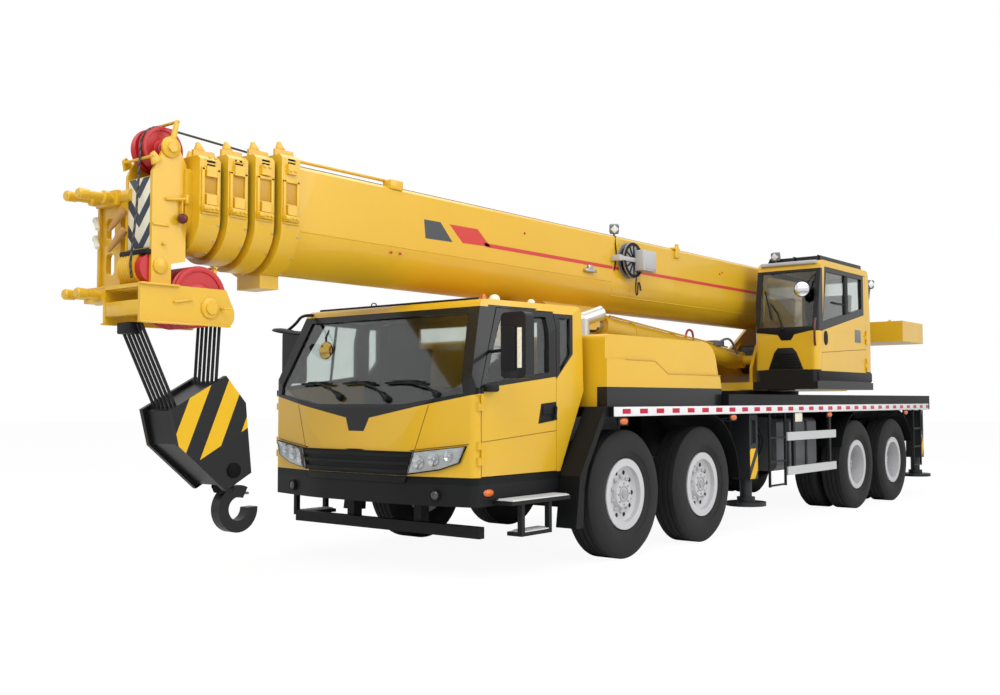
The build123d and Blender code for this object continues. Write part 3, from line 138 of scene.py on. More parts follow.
# Sprayed enamel on steel: a smooth coat with faint orange peel, slow drifts of tone and patchy gloss.
# Areas are painted over it where all of their half spaces (nx, ny, nz, limit) hold, with ny on |y|;
# five numbers make stripes (nx, ny, nz, pitch, share).
def enamel(name, colour, rough=0.34, metal=0.0, areas=(), peel=0.004, drift=0.9, coat=0.0, mirror=0.5):
    material, tree = emptyMaterial(name)
    place = objectPlace(tree)
    slow, fine = noise(tree, place, 1 / drift, 3.0), noise(tree, place, 1 / peel, 2.0)
    base = mixColours(tree, slow, linear(colour), darker(colour, 0.88))
    gloss = spread(tree, rough - 0.05, rough + 0.07, slow)
    level = addNode(tree, "Value").outputs[0]
    level.default_value = mirror
    if areas:
        x, y, z = addNode(tree, "SeparateXYZ", {}, {0: place}).outputs
        folded = addNode(tree, "CombineXYZ", {}, {0: x, 1: maths(tree, "ABSOLUTE", y), 2: z}).outputs[0]
    shine = {}
    for patch in areas:
        mask = None
        for limits in patch["within"]:
            dot = addNode(tree, "VectorMath", {"operation": "DOT_PRODUCT", 1: limits[:3]}, {0: folded})
            dot = dot.outputs["Value"]
            if len(limits) == 5:
                turns = maths(tree, "FRACT", maths(tree, "DIVIDE", dot, limits[3]))
                test = maths(tree, "LESS_THAN", turns, limits[4])
            else:
                test = maths(tree, "GREATER_THAN", dot, float(limits[3]))
            mask = test if mask is None else maths(tree, "MULTIPLY", mask, test)
        base = mixColours(tree, mask, base, linear(patch["colour"]))
        gloss = addNode(tree, "Mix", {3: patch["rough"]}, {0: mask, 2: gloss}).outputs[0]
        level = addNode(tree, "Mix", {3: patch.get("mirror", 0.2)}, {0: mask, 2: level}).outputs[0]
        if "metal" in patch:
            shine = {"Metallic": mask}
    bump = bumped(tree, 0.06, 0.001, fine)
    surfaced(tree, {"Metallic": metal, "Coat Weight": coat},
             {"Base Color": base, "Roughness": gloss, "Normal": bump, "Specular IOR Level": level, **shine})
    return material


def area(colour, rough, *within, **more):
    return {"colour": colour, "rough": rough, "within": within, **more}


def yellowPaint(name, *areas):
    return enamel(name, yellowHex, coat=0.25, areas=areas)


# Laminated safety glass: clear with a grey green body, a trace of dust in the gloss
def safetyGlass(name, colour, rough=0.02):
    material, tree = emptyMaterial(name)
    dust = noise(tree, objectPlace(tree), 8.0, 4.0)
    gloss = spread(tree, rough, rough + 0.05, dust)
    tint = mixColours(tree, dust, linear(colour), darker(colour, 0.9))
    surfaced(tree, {"IOR": 1.5, "Transmission Weight": 1.0}, {"Roughness": gloss, "Base Color": tint})
    return material


# Tyre rubber: carbon black, chalky where it flexes, with fine moulded grain
def tyreRubber(name):
    material, tree = emptyMaterial(name)
    place = objectPlace(tree)
    dust, grain = noise(tree, place, 6.0, 5.0), noise(tree, place, 1 / 0.003, 2.0)
    colour = mixColours(tree, dust, linear("#161617"), linear("#2a2a29"))
    surfaced(tree, {"Specular IOR Level": 0.25}, {
        "Base Color": colour, "Roughness": spread(tree, 0.62, 0.85, dust),
        "Normal": bumped(tree, 0.25, 0.001, grain)})
    return material


# Wire rope: bright drawn strands under grease, laid about 60 mm a turn, drawn as slanted bands
def wireRope(name):
    material, tree = emptyMaterial(name)
    turn = addNode(tree, "Mapping", {"Rotation": (0.6, 0.5, 0.0)}, {"Vector": objectPlace(tree)})
    lay = addNode(tree, "TexWave", {"Scale": 18.0, "Distortion": 0.4}, {"Vector": turn.outputs[0]}).outputs[1]
    surfaced(tree, {"Metallic": 0.6, "Roughness": 0.5}, {
        "Base Color": mixColours(tree, lay, linear("#2a2826"), linear("#5b5853")),
        "Normal": bumped(tree, 0.5, 0.002, lay)})
    return material


yellowHex, blackHex, greyHex, liningHex = "#dcae20", "#121315", "#8f9092", "#2a2b2d"
roofLine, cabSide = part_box("cab_roof")[0].z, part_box("cab_rear")[1].y
coverBox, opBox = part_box("engine_cover"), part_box("op_cab_shell")
craneYellow = yellowPaint("craneYellowEnamel")
chassisBlack = enamel("chassisBlackEnamel", "#0f1011", 0.48, mirror=0.15)
trimBlackAndHoleShade = enamel("mouldedTrimBlackAndHoleShade", blackHex, 0.52, peel=0.002, mirror=0.2)
machineGrey = enamel("machineGreyEnamel", "#6f7174", 0.45)
darkGrey = enamel("columnDarkGreyEnamel", "#2b2d2f", 0.45, mirror=0.25)
wheelGrey = enamel("wheelSilverGreyEnamel", "#c2c2c4", 0.42)
hubGrey = enamel("hubCapGreyEnamel", "#9d9da0", 0.42)
signalRed = enamel("sheaveRedEnamel", "#bb1c22", 0.36)
creamWhite = enamel("creamEnamel", "#e9e3cf", 0.4)
brightSteel = enamel("brushedSteel", "#b9babb", 0.3, metal=1.0)
chromeRod = enamel("hardChromeRod", "#d2d4d6", 0.14, metal=1.0)
lampSilver = enamel("lampReflectorSilver", "#dcdddf", 0.12, metal=1.0)
amber = enamel("amberLensPlastic", "#d8661a", 0.2)
seatCloth = enamel("seatWeaveGrey", "#222326", 0.85, peel=0.006, mirror=0.2)
cabGlass = safetyGlass("laminatedCabGlass", "#dfe6e3")
lensGlass = safetyGlass("clearLampLens", "#f2f4f4", 0.05)
rubber = tyreRubber("tyreRubber")
rope = wireRope("greasedWireRope")
# cab nose: yellow below the cowl, black moulding above it and on the screen pillars
cowl = {"tip": 1.105, "tab": 0.412, "steep": 0.45, "shoulder": 1.185, "shallow": 0.18}
cabFrontPaint = yellowPaint(
    "cabNoseEnamel",
    area(blackHex, 0.4, (0, -1, cowl["steep"], cowl["tab"]), (0, 0, 1, cowl["tip"]), (0, 0, -1, -roofLine)),
    area(blackHex, 0.4, (0, -cowl["shallow"], 1, cowl["shoulder"]), (0, 0, -1, -roofLine)))
beltSlope = 0.11
beltLimit = 1.425 + beltSlope * st(1.77)
doorPaint = yellowPaint(
    "cabDoorEnamel", area(blackHex, 0.42, (beltSlope, 0, 1, beltLimit)),
    area(blackHex, 0.5, (0, 1, 0, cabSide + 0.03)),
    area(yellowHex, 0.4, (0, 1, 0, cabSide + 0.001), (0, 0, -1, -1.41)))
cabRearPaint = yellowPaint(
    "cabCornerEnamel",
    area(blackHex, 0.42, (1, 0, 0, st(0.56)), (0.9, 0, 1, 0.9 * st(0.79) + 1.515), (0, 0, -1, -2.045)),
    area(liningHex, 0.8, (1, 0, 0, st(0.455)), (0, -1, 0, 0.05 - cabSide)))
cabRoofPaint = yellowPaint(
    "cabRoofEnamel",
    area(liningHex, 0.8, (0, 0, -1, -2.075), (0, -1, 0, 0.06 - cabSide), (-1, 0, 0, -st(1.5))))
turntablePaint = yellowPaint("turntableEnamel", area(blackHex, 0.5, (0, 1, 0, 0.48), (0, 0, -1, -1.575)))
coverPaint = yellowPaint(
    "engineCoverEnamel", area("#161617", 0.42, (0, 0, -1, -1.455), (0, 1, 0, 1.2)),
    area("#b9b6b0", 0.4, (0, 0, 1, coverBox[0].z + 0.62), (0, 1, 0, 0.6), (0, -1, 0, -1.0), metal=1))
opShellPaint = yellowPaint(
    "operatorCabEnamel", area(blackHex, 0.5, (0, 0, -1, -1.7)),
    area(blackHex, 0.42, (1, 0, 0, st(-4.345)), (0, 0, 1, 2.155), (0, 0, -1, -2.9)),
    area(blackHex, 0.5, (0, 0, 1, opBox[1].z - 0.058)),
    area(liningHex, 0.8, (0, 0, 1, 1.72), (0, 0, -1, -2.93), (0, 1, 0, opBox[0].y + 0.04),
         (0, -1, 0, 0.06 - opBox[1].y), (1, 0, 0, opBox[0].x + 0.04), (-1, 0, 0, -st(-4.6))))
opSill = 0.192
opDoorPaint = yellowPaint(
    "operatorDoorEnamel",
    area(blackHex, 0.42, (opSill, 0, 1, 2.155 + opSill * st(-4.3)), (1, 0, 0, st(-5.68)), (0, 0, -1, -2.93)))
# hook block: it hangs tied forward, so its stripes are drawn in the same lean
lean, blockHead = math.radians(28), (st(3.51), 1.4)
blockAxis = (math.sin(lean), 0, math.cos(lean))
blockTop = blockAxis[0] * blockHead[0] + blockAxis[2] * blockHead[1]
hookPaint = enamel("hookBlockEnamel", "#101113", 0.38, mirror=0.3, areas=[
    area(yellowHex, 0.4, (0.92, 0, 0.39, 0.237, 0.5), (0, 1, 0, 0.183), (*blockAxis, blockTop - 0.4))])
guardPaint = enamel("sideGuardEnamel", "#4e5053", 0.45, areas=[area(blackHex, 0.5, (0, 1, 0, 1.33))] + [
    area("#b9babb", 0.4, (0, 1, 0, 1.33), (1, 0, 0, st(-4.6)), (-1, 0, 0, -st(-3.1)), (0, 0, 1, z - 0.046),
         (0, 0, -1, -z - 0.046), mirror=0.5) for z in (0.58, 0.95)])
reelX, reelZ = st(-1.6), 2.785
boomPaint = yellowPaint(
    "boomEnamel", area(greyHex, 0.45, (0, 1, 0, 0.3125), (1, 0, 0, reelX - 0.2),
                       (-1, 0, 0, -reelX - 0.2), (0, 0, 1, reelZ - 0.2)))
# boom sections: painted shade darkens the wall in the shaded gap behind each collar
collars = {"front": 2.98, "pitch": 0.2, "length": 0.165, "rim": 0.05, "step": 0.034}
paintedCollarShade = {}
for n, node in enumerate(("boom_2", "boom_3", "boom_4")):
    gap = st(collars["front"] + collars["pitch"] * n)
    paintedCollarShade[node] = yellowPaint(
        "boomSectionCollarShadeEnamel" + str(n + 2),
        area("#2a2110", 0.5, (1, 0, 0, gap - 0.03), (-1, 0, 0, -gap - 0.036), (0, 0, 1, 2.5)))
hazard = enamel("hazardStripeFilm", "#1b1b1c", 0.4, areas=[area("#e6b41f", 0.4, (0.81, 0, 0.58, 0.163, 0.6))])
edgeStrip = enamel("reflectiveEdgeFilm", "#e2e0e2", 0.32, areas=[
    area("#b3243c", 0.32, (1, 0, 0, 0.277, 0.47), (0, 0, 1, 1.228), (0, 0, -1, -1.27))])
chevron = enamel("chevronSignFilm", "#e8e2cc", 0.4, areas=[area("#39434f", 0.4, (0, -1.1, 1, 0.19, 0.45))])
stepZinc = enamel("stepZincGrey", "#d4d5d6", 0.5)
stripeSlate = enamel("slateStripeFilm", "#3a3f45", 0.38)
stripeRed = enamel("redStripeFilm", "#c8362c", 0.38)
# lamp trays catch the light in soft facets; gaps, recesses and mouths are given painted shade
lampTray = enamel("lampTraySilver", "#e2e4e6", 0.3, metal=0.3)
fogGlass = enamel("smokedLampLens", "#4a4c4e", 0.15, metal=0.4)
mirrorGold = enamel("roundMirrorSilver", "#b79a52", 0.15, metal=1.0)
gapShade = enamel("panelGapShade", "#8a6410", 0.6)
# painted shade: a darker yellow for shaded recesses and the shaded edge of the cover crease
shadeYellow = enamel("recessShadeYellowEnamel", "#c08f1c", 0.45)
# near black: the hook's own black on its bosses, and painted shade standing in for the dark inside of slots
# and the exhaust mouth
blackAndOpeningShade = enamel("blackPaintAndOpeningShade", "#0b0b0c", 0.7, mirror=0.1)
paleGrey = enamel("junctionBoxGrey", "#b4b4b6", 0.45)
knobRed = enamel("knobDarkRed", "#5a1418", 0.3)
tanPin = enamel("bareCastTan", "#b98a4a", 0.5)

finishes = {
    "crane_yellow": craneYellow, "chassis_black": chassisBlack, "machine_grey": machineGrey,
    "wheel_grey": wheelGrey, "rubber": rubber, "glass": cabGlass, "trim_plastic": seatCloth,
    "sheave_red": signalRed, "chrome_rod": chromeRod}
# the slot that a scene piece in each finish usually takes
usualSlot = {}
for slot, group in (("crane_yellow", (craneYellow, shadeYellow, hazard, tanPin, opDoorPaint)),
                    ("chassis_black", (chassisBlack, darkGrey, blackAndOpeningShade, rope)),
                    ("trim_plastic", (trimBlackAndHoleShade, gapShade)), ("machine_grey", (machineGrey, paleGrey)),
                    ("wheel_grey", (wheelGrey, hubGrey, creamWhite, edgeStrip, chevron)),
                    ("chrome_rod", (lampTray, lampSilver, fogGlass, mirrorGold, stepZinc, brightSteel)),
                    ("sheave_red", (signalRed, amber, knobRed)), ("glass", (cabGlass, lensGlass))):
    usualSlot.update({material.name: slot for material in group})
special = {
    "cab_front": cabFrontPaint, "cab_door_left": doorPaint, "cab_door_right": doorPaint,
    "cab_rear": cabRearPaint, "engine_cover": coverPaint, "op_cab_shell": opShellPaint,
    "op_cab_door": opDoorPaint, "hook_block": hookPaint, "side_guards": guardPaint, "boom_base": boomPaint,
    "cab_roof": cabRoofPaint, "turntable": turntablePaint, "bumper": trimBlackAndHoleShade, "outrigger_boxes": darkGrey,
    "chassis_frame": chassisBlack}
special.update(paintedCollarShade)
for node in nodes:
    if node.startswith(("beam_", "jack_")):
        special[node] = darkGrey
slotOf = {part["node"]: part["material_slot"] for part in frame["record"]["subparts"]}
for node, obj in nodes.items():
    obj.data.materials.clear()
    obj.data.materials.append(special.get(node, finishes[slotOf[node]]))
print("finishes ready")


bite = 0.001      # how far a piece sinks into what carries it


# modelling helpers: each starts with nothing selected and leaves one object
def clearSelection():
    if bpy.context.object and bpy.context.object.mode != "OBJECT":
        bpy.ops.object.mode_set(mode="OBJECT")
    bpy.ops.object.select_all(action="DESELECT")


def picked(obj):
    clearSelection()
    obj.select_set(True)
    bpy.context.view_layer.objects.active = obj


def roundEdges(obj, width, segments=2):
    mod = obj.modifiers.new("round", "BEVEL")
    mod.width, mod.segments, mod.limit_method, mod.angle_limit = width, segments, "ANGLE", math.radians(35)
    bpy.context.view_layer.objects.active = obj
    bpy.ops.object.modifier_apply(modifier=mod.name)
    return obj


def block(low, high, round=0.0):
    clearSelection()
    middle = [(a + b) / 2 for a, b in zip(low, high)]
    bpy.ops.mesh.primitive_cube_add(size=1, location=middle, scale=[abs(b - a) for a, b in zip(low, high)])
    bpy.ops.object.transform_apply(location=True, rotation=True, scale=True)
    return roundEdges(bpy.context.object, round) if round else bpy.context.object


# a flat outline drawn in two axes and extruded along the third
def plate(outline, axis, start, end, round=0.0):
    clearSelection()
    bpy.ops.mesh.primitive_circle_add(vertices=len(outline), fill_type="NGON")
    obj = bpy.context.object
    order = {"x": (1, 2), "y": (0, 2), "z": (0, 1)}[axis]
    for vert, (a, b) in zip(obj.data.vertices, outline):
        vert.co["xyz".index(axis)] = start
        vert.co[order[0]], vert.co[order[1]] = a, b
    push = [0, 0, 0]
    push["xyz".index(axis)] = end - start
    bpy.ops.object.mode_set(mode="EDIT")
    bpy.ops.mesh.select_all(action="SELECT")
    bpy.ops.mesh.extrude_region_move(TRANSFORM_OT_translate={"value": push})
    bpy.ops.mesh.select_all(action="SELECT")
    bpy.ops.mesh.normals_make_consistent(inside=False)
    bpy.ops.object.mode_set(mode="OBJECT")
    return roundEdges(obj, round) if round else obj


# a closed profile of (along axis, radius) spun about an axis through a centre
def spun(profile, centre, axis, steps=32):
    clearSelection()
    bpy.ops.mesh.primitive_circle_add(vertices=len(profile), fill_type="NOTHING")
    obj = bpy.context.object
    along = Vector(axis).normalized()
    out = along.orthogonal().normalized()
    for vert, (a, r) in zip(obj.data.vertices, profile):
        vert.co = Vector(centre) + along * a + out * r
    bpy.ops.object.mode_set(mode="EDIT")
    bpy.ops.mesh.select_all(action="SELECT")
    bpy.ops.mesh.spin(steps=steps, angle=2 * math.pi, center=centre, axis=along)
    bpy.ops.mesh.select_all(action="SELECT")
    bpy.ops.mesh.remove_doubles(threshold=0.00005)
    bpy.ops.mesh.normals_make_consistent(inside=False)
    bpy.ops.object.mode_set(mode="OBJECT")
    return obj


# a spun profile closed to its axis at both ends
def cap(rings, centre, axis, steps):
    return spun([(rings[0][0], 0)] + rings + [(rings[-1][0], 0)], centre, axis, steps)


def stations(points):
    return [(st(s), z) for s, z in points]


def sidePlate(outline, start, end, round=0.0):
    return plate(stations(outline), "y", start, end, round)


def tube(points, radius, smooth=False, sides=2):
    clearSelection()
    bpy.ops.curve.primitive_nurbs_path_add()
    obj = bpy.context.object
    obj.data.splines.clear()
    spline = obj.data.splines.new("NURBS" if smooth else "POLY")
    spline.points.add(len(points) - 1)
    for point, place in zip(spline.points, points):
        point.co = (*place, 1)
    if smooth:
        spline.order_u = 3
        spline.use_endpoint_u = True
    obj.data.bevel_depth, obj.data.bevel_resolution, obj.data.use_fill_caps = radius, sides, True
    obj.location = (0, 0, 0)
    bpy.ops.object.convert(target="MESH")
    return bpy.context.object


# a rod across the machine
def crossRod(s, half, z, radius):
    return tube([(st(s), -half, z), (st(s), half, z)], radius, sides=3)


def joined(objs):
    clearSelection()
    for obj in objs:
        obj.select_set(True)
    bpy.context.view_layer.objects.active = objs[0]
    if len(objs) > 1:
        bpy.ops.object.join()
    return bpy.context.object


def copied(obj, move=(0, 0, 0), flip=False):
    new = obj.copy()
    new.data = obj.data.copy()
    bpy.context.scene.collection.objects.link(new)
    if flip:
        new.data.transform(Matrix.Scale(-1, 4, (0, 1, 0)))
        new.data.flip_normals()
    new.data.transform(Matrix.Translation(move))
    return new


# one piece: joined if it is a list, named, painted, smooth shaded and set on its body
def finished(obj, name, body, material, slot=None, angle=35):
    obj = joined(obj) if isinstance(obj, list) else obj
    obj.name = obj.data.name = name
    obj.data.materials.clear()
    obj.data.materials.append(material)
    picked(obj)
    bpy.ops.object.shade_smooth_by_angle(angle=math.radians(angle))
    slot = slot or usualSlot[material.name]
    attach(obj, body)
    return obj


# the piece on the left and its copy on the right
def bothSides(obj, name, bodies, material, slot=None):
    obj = joined(obj) if isinstance(obj, list) else obj
    left, right = bodies if isinstance(bodies, list) else (bodies, bodies)
    other = copied(obj, flip=True)
    finished(obj, name + "Left", left, material, slot)
    finished(other, name + "Right", right, material, slot)


def arc(start, through, end, count):
    (ax, ay), (bx, by), (cx, cy) = start, through, end
    d = 2 * (ax * (by - cy) + bx * (cy - ay) + cx * (ay - by))
    aa, bb, cc = ax * ax + ay * ay, bx * bx + by * by, cx * cx + cy * cy
    ux = (aa * (by - cy) + bb * (cy - ay) + cc * (ay - by)) / d
    uy = (aa * (cx - bx) + bb * (ax - cx) + cc * (bx - ax)) / d
    radius = math.hypot(ax - ux, ay - uy)
    a0, a1 = math.atan2(ay - uy, ax - ux), math.atan2(cy - uy, cx - ux)
    turns = [a0 + (a1 - a0) * k / count for k in range(count + 1)]
    return [(ux + radius * math.cos(turn), uy + radius * math.sin(turn)) for turn in turns]


# tyres: radial truck tyres with three ribs' grooves and cross cuts in the shoulders
tread = {"radius": 0.545, "half": 0.108, "grooves": (-0.056, 0.0, 0.056), "grooveWidth": 0.011,
         "grooveDepth": 0.012, "steps": 90, "cutDepth": 0.009, "cutAbove": 0.525, "cutBeyond": 0.064,
         "twin": 0.17}


def tyreModel():
    wall = arc((0.112, 0.308), (0.15, 0.425), (0.132, 0.52), 7)
    side = [(0.112, 0.254), (0.112, 0.3)] + wall
    side = side[:5] + [(a + 0.004, r) for a, r in side[4:6]] + side[6:]     # proud ring on the side wall
    crown = [(tread["half"], tread["radius"])]
    for g in reversed(tread["grooves"]):
        w, low = tread["grooveWidth"] / 2, tread["radius"] - tread["grooveDepth"]
        crown += [(g + w, tread["radius"]), (g + w * 0.6, low), (g - w * 0.6, low), (g - w, tread["radius"])]
    crown.append((-tread["half"], tread["radius"]))
    profile = side + crown + [(-a, r) for a, r in reversed(side)]
    obj = spun(profile, (0, 0, tread["radius"]), (0, 1, 0), tread["steps"])
    for face in obj.data.polygons:
        c = face.center
        r = math.hypot(c.x, c.z - tread["radius"])
        angle = math.atan2(c.x, c.z - tread["radius"])
        turn = int((angle + 4 * math.pi) / (2 * math.pi / tread["steps"]) + 0.5)
        face.select = r > tread["cutAbove"] and abs(c.y) > tread["cutBeyond"] and turn % 3 == 0
    picked(obj)
    bpy.ops.object.mode_set(mode="EDIT")
    bpy.ops.mesh.select_mode(type="FACE")
    bpy.ops.mesh.extrude_region_shrink_fatten(TRANSFORM_OT_shrink_fatten={"value": -tread["cutDepth"]})
    bpy.ops.object.mode_set(mode="OBJECT")
    return obj


tyre = tyreModel()
for number in (1, 2, 3, 4):
    for hand in hands:
        single = number < 3
        node = f"tyre_{number}_{hand}" if single else f"tyres_{number}_{hand}"
        low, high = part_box(node)
        middle = (low + high) / 2
        offsets = [0] if single else [-tread["twin"], tread["twin"]]
        pieces = [copied(tyre, (middle.x, middle.y + dy, 0)) for dy in offsets]
        obj = finished(pieces, f"treadTyre{number}{hand.capitalize()}", f"wheel_{number}_{hand}", rubber,
                       "rubber", 28)
        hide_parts(node)
bpy.data.objects.remove(tyre)
print("tyres ready")

# wheel studs: a ring of ten nuts, and on the front discs a ring of hand holes drawn as black discs of painted
# shade
wheels = {"nuts": 10, "frontRing": 0.148, "rearRing": 0.172, "nutRadius": 0.017, "nutHeight": 0.024,
          "holeRing": 0.186, "holeRadius": 0.016, "frontFace": 0.066, "rearFace": 0.02}
rims = []
for number in (1, 2, 3, 4):
    for hand, side in hands.items():
        low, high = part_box(f"rim_{number}_{hand}")
        x, y = (low.x + high.x) / 2, (low.y + high.y) / 2
        tag, body = f"{number}{hand.capitalize()}", f"wheel_{number}_{hand}"
        rims.append((number < 3, tag, body, (0, side, 0), x, y))


def ringPlaces(x, y, ring, count, phase=0.0):
    turns = [2 * math.pi * (k + phase) / count for k in range(count)]
    return [(x + ring * math.sin(turn), y, tread["radius"] + ring * math.cos(turn)) for turn in turns]


for front, tag, body, aim, x, y in rims:
    h, r, ring = wheels["nutHeight"], wheels["nutRadius"], wheels["frontRing" if front else "rearRing"]
    face = y + aim[1] * wheels["frontFace" if front else "rearFace"]
    made = []
    for place in ringPlaces(x, face, ring, wheels["nuts"]):
        made.append(cap([(0, r), (h * 0.75, r), (h, r * 0.7)], place, aim, 6))
        made.append(cap([(h, r * 0.5), (h * 1.4, r * 0.4)], place, aim, 8))
    finished(made, "wheelNuts" + tag, body, wheelGrey)
    if front:
        r = wheels["holeRadius"]
        # the hand holes are black discs of painted shade on the wheel face
        holes = [spun([(0, 0), (0, r * 1.25), (0.002, r * 1.2), (0.001, r), (0.0005, 0)], place, aim, 12)
                 for place in ringPlaces(x, face, wheels["holeRing"], wheels["nuts"], 0.5)]
        finished(holes, "handHoleShade" + tag, body, trimBlackAndHoleShade, "chassis_black")
# hub caps: a raised ring, a centre boss and small cap bolts
caps = {"front": (0.105, 0.112), "rear": (0.19, 0.095), "bolts": 8, "bolt": 0.009}
for front, tag, body, aim, x, y in rims:
    reach, r = caps["front" if front else "rear"]
    b, centre = caps["bolt"], (x, y + aim[1] * reach, tread["radius"])
    ring = [(-0.001, r * 0.5), (0.006, r * 0.52), (0.006, r * 0.6), (-0.001, r * 0.62)]
    made = [spun(ring, centre, aim, 36)]
    made.append(cap([(-0.001, r * 0.36), (0.01, r * 0.32), (0.013, r * 0.2)], centre, aim, 24))
    for place in ringPlaces(x, centre[1], r * 0.8, caps["bolts"]):
        made.append(cap([(-0.001, b), (0.007, b), (0.01, b * 0.6)], place, aim, 6))
    finished(made, "hubCap" + tag, body, hubGrey)
print("wheels ready")

# driver's cab skin, stations and heights in metres: the nose sweeps back in plan, the upper sides lean in
cabin = {"front": 1.935, "cowlBack": 1.9, "cowlZ": 1.29, "noseZ": 1.0, "roofFront": 1.56, "roofZ": 2.12,
         "flatHalf": 0.48, "sweep": 0.2077, "roofRear": 0.431, "beltFront": 1.74, "beltZ": 1.42, "lean": 0.15}


def noseX(y, z):
    plan = cabin["front"] - max(0.0, abs(y) - cabin["flatHalf"]) * cabin["sweep"]
    climb = max(0.0, z - cabin["noseZ"])
    side = cabin["front"] - (cabin["front"] - cabin["cowlBack"]) * climb / (cabin["cowlZ"] - cabin["noseZ"])
    if z > cabin["cowlZ"]:
        rise = (z - cabin["cowlZ"]) / (cabin["roofZ"] - cabin["cowlZ"])
        side = cabin["cowlBack"] + (cabin["roofFront"] - cabin["cowlBack"]) * rise
    return st(min(plan, side))


def sideY(x, z):
    rear = Vector((st(cabin["roofRear"]), cabSide, cabin["roofZ"]))
    belt = Vector((st(cabin["beltFront"]), cabSide, cabin["beltZ"]))
    corner = Vector((st(cabin["roofFront"]), cabSide - cabin["lean"], cabin["roofZ"]))
    out = (corner - rear).cross(belt - rear)
    return min(cabSide, rear.y - (out.x * (x - rear.x) + out.z * (z - rear.z)) / out.y)


# cut a flat plate fine and press it onto the nose or the side
def pressed(obj, onto, cuts=3, round=0.0):
    picked(obj)
    bpy.ops.object.mode_set(mode="EDIT")
    bpy.ops.mesh.select_all(action="SELECT")
    bpy.ops.mesh.quads_convert_to_tris()
    bpy.ops.mesh.subdivide(number_cuts=cuts)
    bpy.ops.object.mode_set(mode="OBJECT")
    for vert in obj.data.vertices:
        if onto == "nose":
            vert.co.x += noseX(vert.co.y, vert.co.z)
        else:
            vert.co.y += sideY(vert.co.x, vert.co.z)
    return roundEdges(obj, round) if round else obj


def alongNose(points, proud=0.0):
    return [(noseX(y, z) + proud, y, z) for y, z in points]


def alongSide(points, proud=0.0):
    return [(st(s), sideY(st(s), z) + proud, z) for s, z in points]


# headlamps: a bright tray, three bowls with bulbs and a clear cover
lamp = {"tray": [(0.572, 0.792), (0.628, 0.955), (1.058, 1.004), (1.008, 0.886), (0.845, 0.832)],
        "tray depth": (0.0125, 0.015), "cover depth": (0.03, 0.034), "aim": (1, 0.2, 0),
        "bowls": [(0.668, 0.88, 0.05), (0.795, 0.905, 0.052), (0.92, 0.932, 0.04)]}
tray = pressed(plate(lamp["tray"], "x", *lamp["tray depth"]), "nose")
bothSides(tray, "headlampTray", "carrier", lampTray)
bowls = []
bulbs = []
for y, z, r in lamp["bowls"]:
    centre = (noseX(y, z) + lamp["tray depth"][1], y, z)
    bowls.append(spun([(0, r * 0.35), (0, r), (0.013, r), (0.013, r * 0.88), (0.004, r * 0.6),
                       (0.002, r * 0.35)], centre, lamp["aim"], 28))
    bulbs.append(spun([(0, 0), (0, r * 0.34), (0.007, r * 0.3), (0.011, r * 0.18), (0.012, 0)], centre,
                      lamp["aim"], 16))
bothSides(bowls, "headlampBowls", "carrier", lampSilver)
bothSides(bulbs, "headlampBulbs", "carrier", lampTray)
cover = pressed(plate(lamp["tray"], "x", *lamp["cover depth"]), "nose", round=0.0015)
bothSides(cover, "headlampCover", "carrier", lensGlass)
rim = tube(alongNose(lamp["tray"] + lamp["tray"][:1], 0.017), 0.007)
bothSides(rim, "headlampRim", "carrier", trimBlackAndHoleShade)

# nose: panel seams, a brow, the lip under the grille and the fog lamps
noseTrim = {"corner": [(0.737, 1.307), (0.692, 1.18), (0.617, 0.967)],
            "waist": [(0.62, 0.972), (0.86, 0.998), (1.075, 1.022)],
            "brow": [(-0.612, 0.966), (0.0, 0.962), (0.612, 0.966)], "gap": 0.0035,
            "lip": [(-0.535, 0.722), (0.535, 0.722), (0.56, 0.772), (-0.56, 0.772)],
            "fog": (0.802, 0.64, 0.036)}
lines = [tube(alongNose(noseTrim["corner"]), noseTrim["gap"]),
         tube(alongNose(noseTrim["waist"]), noseTrim["gap"])]
bothSides(lines, "nosePanelGap", "carrier", gapShade)
finished(tube(alongNose(noseTrim["brow"]), 0.005), "noseBrow", "carrier", trimBlackAndHoleShade)
lip = pressed(plate(noseTrim["lip"], "x", 0.001, 0.014), "nose", round=0.004)
finished(lip, "grilleLip", "carrier", trimBlackAndHoleShade)
y, z, r = noseTrim["fog"]
fog = spun([(0, 0), (0, r), (0.004, r), (0.012, r * 0.75), (0.016, r * 0.4), (0.017, 0)],
           (noseX(y, z) + 0.0145, y, z), lamp["aim"], 24)
bothSides(fog, "fogLens", "carrier", fogGlass)
ring = spun([(0, r * 1.02), (0, r * 1.22), (0.012, r * 1.16), (0.012, r * 1.02)],
            (noseX(y, z) + 0.0145, y, z), lamp["aim"], 24)
bothSides(ring, "fogRing", "carrier", trimBlackAndHoleShade)

